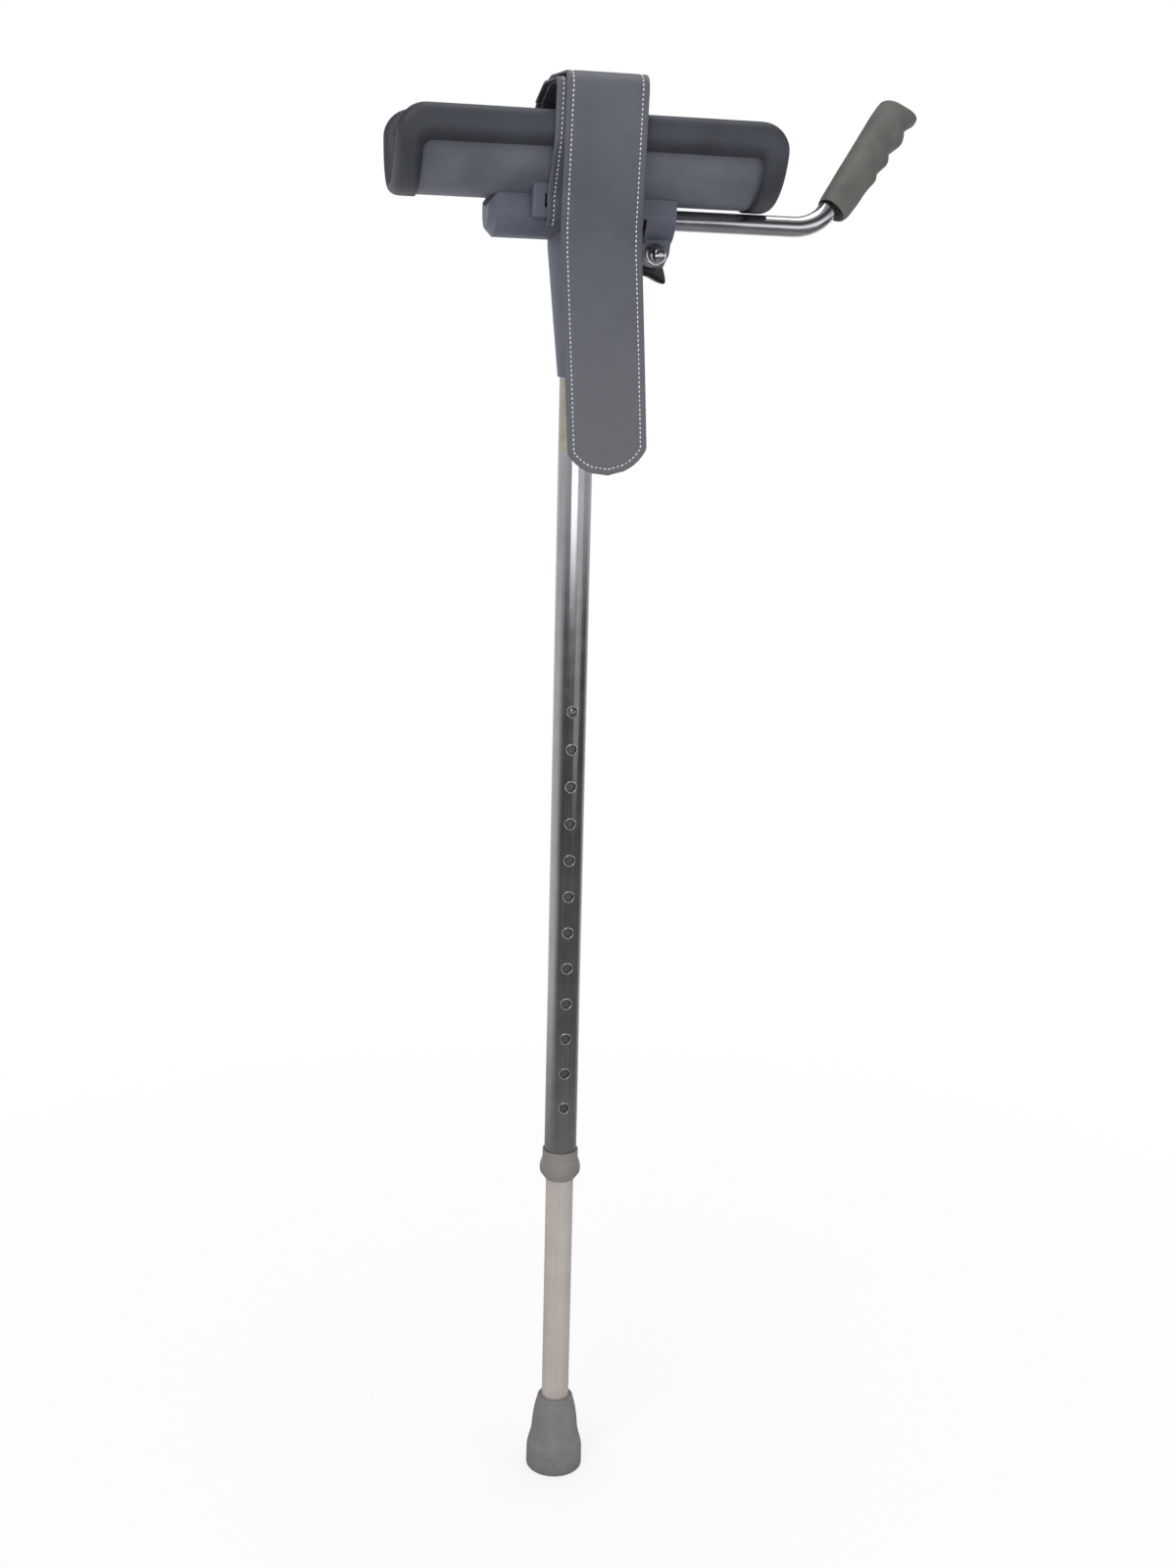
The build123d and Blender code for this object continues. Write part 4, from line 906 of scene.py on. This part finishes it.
stitch = one_stitch()
for name, seams, joined in (("long_strap_stitches", long_seams, round_the_end),
                            ("short_strap_stitches", short_seams, two_sides)):
    piece = seam_piece(name, seams, joined)
    faces = grown(piece, stitches, {"Pitch": STITCH_PITCH / 1000, "Stitch": stitch, "Thread": thread, "Seed": 4})
    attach(piece, "head")
    print(name, faces, "faces")
bpy.data.objects.remove(stitch)
for vinyl, node in ((long_vinyl, "long_strap"), (short_vinyl, "short_strap")):
    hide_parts(node)
    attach(vinyl, "head")

# %% [markdown]
# ## Hook and loop
# Between the straps, a loop tape is glued to the short one and a hook tape to the long one.
# Up close the tape is a woven base with rows of tiny hooks. Only its edge ever shows.
# The hooks are instances on a grid of points, with the numbers of columns and lines given.

# %% Hook and loop tapes
hooks = bpy.data.node_groups.new("hooks_on_a_tape", "GeometryNodeTree")
for label, kind in (("Tape", "NodeSocketGeometry"), ("Length", "NodeSocketFloat"), ("Width", "NodeSocketFloat"),
                    ("Columns", "NodeSocketInt"), ("Lines", "NodeSocketInt"), ("Hook", "NodeSocketObject"),
                    ("Finish", "NodeSocketMaterial"), ("Seed", "NodeSocketInt")):
    hooks.interface.new_socket(label, in_out="INPUT", socket_type=kind)
hooks.interface.new_socket("Tape", in_out="OUTPUT", socket_type="NodeSocketGeometry")
given = add_node(hooks, "NodeGroupInput")
grid = add_node(hooks, "GeometryNodeMeshGrid",
                {"Size X": given.outputs["Length"], "Size Y": given.outputs["Width"],
                 "Vertices X": given.outputs["Columns"], "Vertices Y": given.outputs["Lines"]})
one = add_node(hooks, "GeometryNodeObjectInfo", {"Object": given.outputs["Hook"]})
leaning = add_node(hooks, "FunctionNodeRandomValue", {"Min": (-0.2, -0.2, -0.6), "Max": (0.2, 0.2, 0.6),
                                                      "Seed": given.outputs["Seed"]}, data_type="FLOAT_VECTOR")
placed = add_node(hooks, "GeometryNodeInstanceOnPoints",
                  {"Points": grid.outputs["Mesh"], "Instance": one.outputs["Geometry"],
                   "Rotation": leaning.outputs[0]})
both = add_node(hooks, "GeometryNodeJoinGeometry")
hooks.links.new(given.outputs["Tape"], both.inputs[0])
hooks.links.new(placed.outputs[0], both.inputs[0])
real = add_node(hooks, "GeometryNodeRealizeInstances", {"Geometry": both.outputs[0]})
dressed = add_node(hooks, "GeometryNodeSetMaterial", {"Geometry": real.outputs[0],
                                                      "Material": given.outputs["Finish"]})
add_node(hooks, "NodeGroupOutput", {"Tape": dressed.outputs[0]})

TAPE_WIDTH, TAPE_HEIGHT, TAPE_BASE, TAPE_THICK = 40.0, 22.0, 0.4, 0.9


def tape_base(name):
    """The woven base: a thin oblong with rounded corners, lying flat in metres."""
    rows = []
    for rise, inset in ((0.0, 0.1), (0.1, 0.0), (TAPE_BASE - 0.1, 0.0), (TAPE_BASE, 0.15)):
        edge = rounded_oblong(TAPE_WIDTH / 2 - inset, TAPE_HEIGHT / 2 - inset, 3.0 - inset, 4, 8, 6)
        rows.append([Vector((x, g, rise)) / 1000 for x, g in edge])
    return sleeve(name, rows, hook_nylon)


def one_hook(height):
    """A thin bent post, a few faces only."""
    rows = []
    for n in range(4):
        s = n / 3
        bend = 0.18 * sin(pi * s)
        rows.append([Vector((0.09 * cos(a) * (1 - 0.4 * s) + bend, 0.09 * sin(a) * (1 - 0.4 * s), height * s)) / 1000
                     for a in [k * pi / 2 for k in range(4)]])
    return sleeve("one_hook", rows, hook_nylon)


hook = one_hook(TAPE_THICK - TAPE_BASE - 0.06)
head_turn = Matrix.Rotation(HEAD_TILT, 4, "Y")
for name, node, depth, way in (("loop_tape_pile", "loop_tape", -48.6, 1), ("hook_tape_hooks", "hook_tape", -50.4, -1)):
    tape = tape_base(name)
    faces = grown(tape, hooks, {"Length": 0.036, "Width": 0.018, "Columns": 25, "Lines": 13, "Hook": hook,
                                "Finish": hook_nylon, "Seed": 11})
    centre = head_point(0.0, depth, 60.0)
    stand = Matrix.Rotation(radians(90) * way, 4, "X")
    tape.data.transform(Matrix.Translation(centre) @ head_turn @ stand)
    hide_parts(node)
    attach(tape, "head")
    print(name, faces, "faces")
bpy.data.objects.remove(hook)

# %% [markdown]
# ## Bright rims of the adjusting holes
# Each hole is punched and then deburred after anodising, so a thin bright ring shows round it in the photograph.
# The ring follows the tube's curve. It is made once and repeated down the tube, one inch apart, by a node tree.

# %% Hole rims
rims = bpy.data.node_groups.new("rims_down_a_tube", "GeometryNodeTree")
for label, kind in (("Start", "NodeSocketGeometry"), ("Count", "NodeSocketInt"), ("Pitch", "NodeSocketFloat"),
                    ("Top", "NodeSocketFloat"), ("Rim", "NodeSocketObject"), ("Finish", "NodeSocketMaterial")):
    rims.interface.new_socket(label, in_out="INPUT", socket_type=kind)
rims.interface.new_socket("Rims", in_out="OUTPUT", socket_type="NodeSocketGeometry")
given = add_node(rims, "NodeGroupInput")
down = add_node(rims, "ShaderNodeMath", {0: given.outputs["Pitch"], 1: -1.0}, operation="MULTIPLY")
step = add_node(rims, "ShaderNodeCombineXYZ", {"Z": down.outputs[0]})
start = add_node(rims, "ShaderNodeCombineXYZ", {"Z": given.outputs["Top"]})
line = add_node(rims, "GeometryNodeMeshLine", {"Count": given.outputs["Count"], "Start Location": start.outputs[0],
                                               "Offset": step.outputs[0]}, mode="OFFSET")
one = add_node(rims, "GeometryNodeObjectInfo", {"Object": given.outputs["Rim"]})
placed = add_node(rims, "GeometryNodeInstanceOnPoints", {"Points": line.outputs[0],
                                                         "Instance": one.outputs["Geometry"]})
real = add_node(rims, "GeometryNodeRealizeInstances", {"Geometry": placed.outputs[0]})
dressed = add_node(rims, "GeometryNodeSetMaterial", {"Geometry": real.outputs[0],
                                                     "Material": given.outputs["Finish"]})
add_node(rims, "NodeGroupOutput", {"Rims": dressed.outputs[0]})

TUBE_RADIUS, HOLE_RADIUS, TOP_HOLE = 11.1, 3.4, 561.0 - 891.706


def one_rim():
    """A fine raised ring round a hole in the tube's front, in metres, at the hole's own height."""
    rows = []
    for k in range(28):
        a = 2 * pi * k / 28
        row = []
        for reach, rise in ((HOLE_RADIUS - 0.02, -0.25), (HOLE_RADIUS + 0.02, 0.05), (HOLE_RADIUS + 0.25, 0.14),
                            (HOLE_RADIUS + 0.55, 0.09), (HOLE_RADIUS + 0.7, 0.0), (HOLE_RADIUS + 0.3, -0.02)):
            x, z = reach * cos(a), reach * sin(a)
            row.append(Vector((x, -sqrt((TUBE_RADIUS + rise) ** 2 - x * x), z)) / 1000)
        rows.append(row)
    rim = sleeve("one_rim", rows, bare_rim, ring=True)
    face_outwards(rim)
    return rim


bare_rim = plated_steel("deburred_bare_aluminium", "c4c4c2", "e2e2e0", 0.12, 0.25, 3.0)
rim = one_rim()
hole_rims = bpy.data.objects.new("hole_rims", bpy.data.meshes.new("hole_rims"))
bpy.context.scene.collection.objects.link(hole_rims)
faces = grown(hole_rims, rims, {"Count": 12, "Pitch": 0.0254, "Top": TOP_HOLE / 1000, "Rim": rim,
                                "Finish": bare_rim})
bpy.data.objects.remove(rim)
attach(hole_rims, "head")
print("hole rims", faces, "faces")

# %% [markdown]
# ## Blank label
# A paper label is stuck round the shaft just below the head. It stays bare here.
# It is a thin wrap with soft edges and yellowed film over it, so that it doesn't read as paint.

# %% Blank label
label_film, tree, shader, place = start_finish("yellowed_label_film", "a59f8c", 0.35)
aged = add_node(tree, "ShaderNodeTexNoise", {"Vector": place, "Scale": 90.0, "Detail": 6.0, "Roughness": 0.7})
tree.links.new(colour_between(tree, aged.outputs["Fac"], "8f8a78", "ada795", 0.3, 0.7), shader.inputs["Base Color"])
LABEL_TOP, LABEL_FOOT, LABEL_TURN = 774.0 - 891.706, 729.5 - 891.706, 128.0
rows = []
for k in range(61):
    share = -1 + k / 30
    turn = radians(-90 + share * LABEL_TURN / 2 - 14)
    soft_edge = 0.08 if abs(share) < 0.97 else 0.03
    row = []
    for h, lift in ((LABEL_FOOT, 0.015), (LABEL_FOOT, 0.05 + soft_edge / 2), (LABEL_FOOT + 0.3, soft_edge + 0.06),
                    (LABEL_TOP - 0.3, soft_edge + 0.06), (LABEL_TOP, 0.05 + soft_edge / 2), (LABEL_TOP, 0.015)):
        radius = TUBE_RADIUS + lift
        row.append(Vector((radius * cos(turn), radius * sin(turn), h)) / 1000)
    rows.append(row)
blank_label = sleeve("blank_label", rows, label_film)
face_outwards(blank_label)
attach(blank_label, "head")
print("label", round(LABEL_TOP - LABEL_FOOT, 1), "mm tall")

# %% [markdown]
# ## Hand grip
# The grip is moulded rubber, pushed over the end of the rod: straight on the palm side, with three finger
# hollows on the other, a thin lip that stands off the rod, and an end cut nearly square.
# Each section is two half ovals with one width and its own reach to palm and fingers.
# The reaches were read off the photographed outline, and a smooth curve runs through them.

# %% Hand grip
GRIP_MOUTH = Vector((161.639, 6.252, -9.317))
GRIP_WAY = Vector((0.602267, 0.369934, 0.707406)).normalized()
FINGER_WAY = Vector((0.7982, -0.2658, -0.5405))
FINGER_WAY = (FINGER_WAY - GRIP_WAY * FINGER_WAY.dot(GRIP_WAY)).normalized()
SIDE_WAY = GRIP_WAY.cross(FINGER_WAY)
GRIP_BORE, GRIP_BORE_DEPTH = 6.45, 84.3
# Distance from the mouth, reach to the palm, reach to the fingers, half width
MOUTH_INSIDE = ((GRIP_BORE_DEPTH, 6.45, 6.45, 6.45), (40, 6.45, 6.45, 6.45), (12, 6.45, 6.45, 6.45),
                (8, 6.46, 7.0, 6.7), (5, 6.48, 8.4, 7.4), (2.5, 6.52, 9.9, 8.1), (0.8, 6.6, 10.8, 8.6),
                (0.15, 6.75, 11.1, 8.8), (0.0, 7.0, 11.4, 9.1), (0.15, 7.3, 11.8, 9.4))
GRIP_OUTSIDE = ((0.8, 7.6, 12.2, 9.7), (4, 8.0, 13.1, 10.3), (16, 8.8, 13.5, 11.0), (24, 9.4, 13.3, 11.3),
                (31, 9.8, 13.7, 11.6), (36.4, 10.1, 14.2, 11.9), (40.3, 10.3, 12.6, 11.8), (46, 10.7, 13.2, 12.0),
                (51.8, 11.0, 14.1, 12.3), (57.2, 11.4, 11.5, 12.2), (63.5, 11.8, 12.7, 12.4),
                (69.3, 12.2, 14.2, 12.7), (73.7, 12.4, 13.1, 12.7), (77.6, 12.5, 10.7, 12.6),
                (82, 12.5, 11.9, 12.7), (84.6, 12.3, 13.0, 12.7))
GRIP_END = ((85.3, 11.9, 13.7, 12.5), (85.8, 11.2, 13.7, 12.0), (86.2, 9.8, 12.3, 10.6), (86.6, 6.4, 7.8, 6.9),
            (86.8, 2.8, 3.4, 3.0))


def smooth_between(stations, at):
    """The values of a smooth curve through stations, at a distance along them."""
    n = max(0, min(len(stations) - 2, sum(1 for station in stations if station[0] <= at) - 1))
    before, low, high, after = (stations[max(0, min(len(stations) - 1, n + k))] for k in (-1, 0, 1, 2))
    gap = high[0] - low[0]
    t = (at - low[0]) / gap
    values = []
    for a, b, c, d in zip(before[1:], low[1:], high[1:], after[1:]):
        out = (c - a) / max(high[0] - before[0], 1e-6) * gap
        into = (d - b) / max(after[0] - low[0], 1e-6) * gap
        values.append((2 * t ** 3 - 3 * t ** 2 + 1) * b + (t ** 3 - 2 * t ** 2 + t) * out
                      + (3 * t ** 2 - 2 * t ** 3) * c + (t ** 3 - t ** 2) * into)
    return values


def grip_ring(at, palm, fingers, half_width, count=56):
    """Points round one section of the grip, squarer on the finger side near its end."""
    square = 1.0 - 0.22 * min(1.0, max(0.0, (at - 78.0) / 7.0)) if at > 78 and palm > 7 else 1.0
    row = []
    for k in range(count):
        a = 2 * pi * k / count
        c, w = cos(a), sin(a)
        reach = fingers * abs(c) ** square if c > 0 else -palm * abs(c)
        side = half_width * abs(w) ** (square if c > 0 else 1.0) * (1 if w >= 0 else -1)
        flare = 2.6 * min(1.0, max(0.0, (at - 79.0) / 6.0)) * max(0.0, reach / 13.0) ** 1.3
        row.append((GRIP_MOUTH + GRIP_WAY * (at + flare) + FINGER_WAY * reach + SIDE_WAY * side) / 1000)
    return row


first, last = GRIP_OUTSIDE[0][0], GRIP_OUTSIDE[-1][0]
outside = [first + (last - first) * n / 72 for n in range(73)]
rows = [grip_ring(*station) for station in MOUTH_INSIDE]
rows += [grip_ring(at, *smooth_between(GRIP_OUTSIDE, at)) for at in outside]
rows += [grip_ring(*station) for station in GRIP_END]
shaped_grip = sleeve("shaped_hand_grip", rows, grip_rubber, tip=(GRIP_MOUTH + GRIP_WAY * 86.85) / 1000)
volume = face_outwards(shaped_grip)
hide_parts("hand_grip")
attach(shaped_grip, "handle")
print("grip", len(rows), "sections,", round(volume * 1e6, 1), "cubic cm")

# %% [markdown]
# ## Clamp knob and dome nut
# The knob behind the clamp has three narrow lobes with hollow flanks, so that fingers find them without looking.
# Its outline is one radius that swells three times in a turn, carried through rounded faces and down to a hub.
# On the other side the stud ends in a chromed dome nut: six flats with softened corners under a tall cap.

# %% Knob and nut
BOLT_ALONG, BOLT_UP, STUD_RADIUS = 46.6, -21.0, 3.05
KNOB_LOBES, KNOB_VALLEY, KNOB_TIP = (-49.0, 71.0, 191.0), 13.4, 24.0


def bolt_ring(depth, radius_at, count):
    """Points round the clamp bolt's axis at a depth, with a radius for each angle."""
    row = []
    for k in range(count):
        a = 360.0 * k / count
        r = radius_at(a)
        row.append(head_point(BOLT_ALONG + r * cos(radians(a)), depth, BOLT_UP + r * sin(radians(a))))
    return row


def lobed(share, hub=7.5):
    """Radius of the knob's outline, drawn in towards the hub."""
    def radius(a):
        off = min(abs((a - lobe + 180) % 360 - 180) for lobe in KNOB_LOBES)
        swell = exp(-(off / 15.0) ** 1.5)
        return hub + (KNOB_VALLEY + (KNOB_TIP - KNOB_VALLEY) * swell - hub) * share
    return radius


def hexagon(flat, corner):
    """Radius of a six-sided outline whose corners are cut to a largest radius."""
    return lambda a: min(corner, flat / cos(radians((a + 30) % 60 - 30)))


knob_profile = [(36.3, STUD_RADIUS), (11.6, STUD_RADIUS), (11.5, 3.4), (11.5, 6.9), (11.8, 7.4), (12.4, 7.5),
                (20.0, 7.5), (23.8, 7.6), (24.6, 8.2)]
rows = [bolt_ring(depth, lambda a, r=r: r, 120) for depth, r in knob_profile]
rows += [bolt_ring(depth, lobed(share), 120)
         for depth, share in ((25.0, 0.45), (25.3, 0.78), (25.9, 0.9), (26.9, 0.98), (28.4, 1.0), (33.0, 1.0),
                              (36.2, 0.99), (37.8, 0.94), (38.9, 0.86), (39.6, 0.74), (39.9, 0.55))]
rows += [bolt_ring(39.95, lambda a: 7.0, 120), bolt_ring(39.7, lambda a: 6.2, 120), bolt_ring(39.7, lambda a: 3.0, 120)]
lobed_knob = sleeve("lobed_clamp_knob", rows, knob_plastic, tip=head_point(BOLT_ALONG, 39.7, BOLT_UP))
knob_volume = face_outwards(lobed_knob)
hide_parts("clamp_knob")
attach(lobed_knob, "clamp_screw")

NUT_SEAT, NUT_FLAT, NUT_CORNER = -11.2, 6.2, 6.7
rows = [bolt_ring(depth, lambda a, r=r: r, 72) for depth, r in ((-16.35, STUD_RADIUS), (-11.3, STUD_RADIUS),
                                                                (NUT_SEAT, 3.3), (NUT_SEAT, 5.3))]
rows += [bolt_ring(depth, hexagon(NUT_FLAT + cut, NUT_CORNER + cut), 72)
         for depth, cut in ((-11.4, -0.15), (-11.7, 0.0), (-13.3, 0.0), (-13.8, -0.12))]
rows += [bolt_ring(-14.1 - 6.1 * sin(radians(turn)), lambda a, turn=turn: 6.15 * cos(radians(turn)), 72)
         for turn in range(0, 85, 7)]
domed_nut = sleeve("domed_cap_nut", rows, chrome, tip=head_point(BOLT_ALONG, -20.2, BOLT_UP))
nut_volume = face_outwards(domed_nut)
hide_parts("dome_nut")
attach(domed_nut, "head")
print("knob", round(knob_volume * 1e6, 2), "and nut", round(nut_volume * 1e6, 2), "cubic cm")
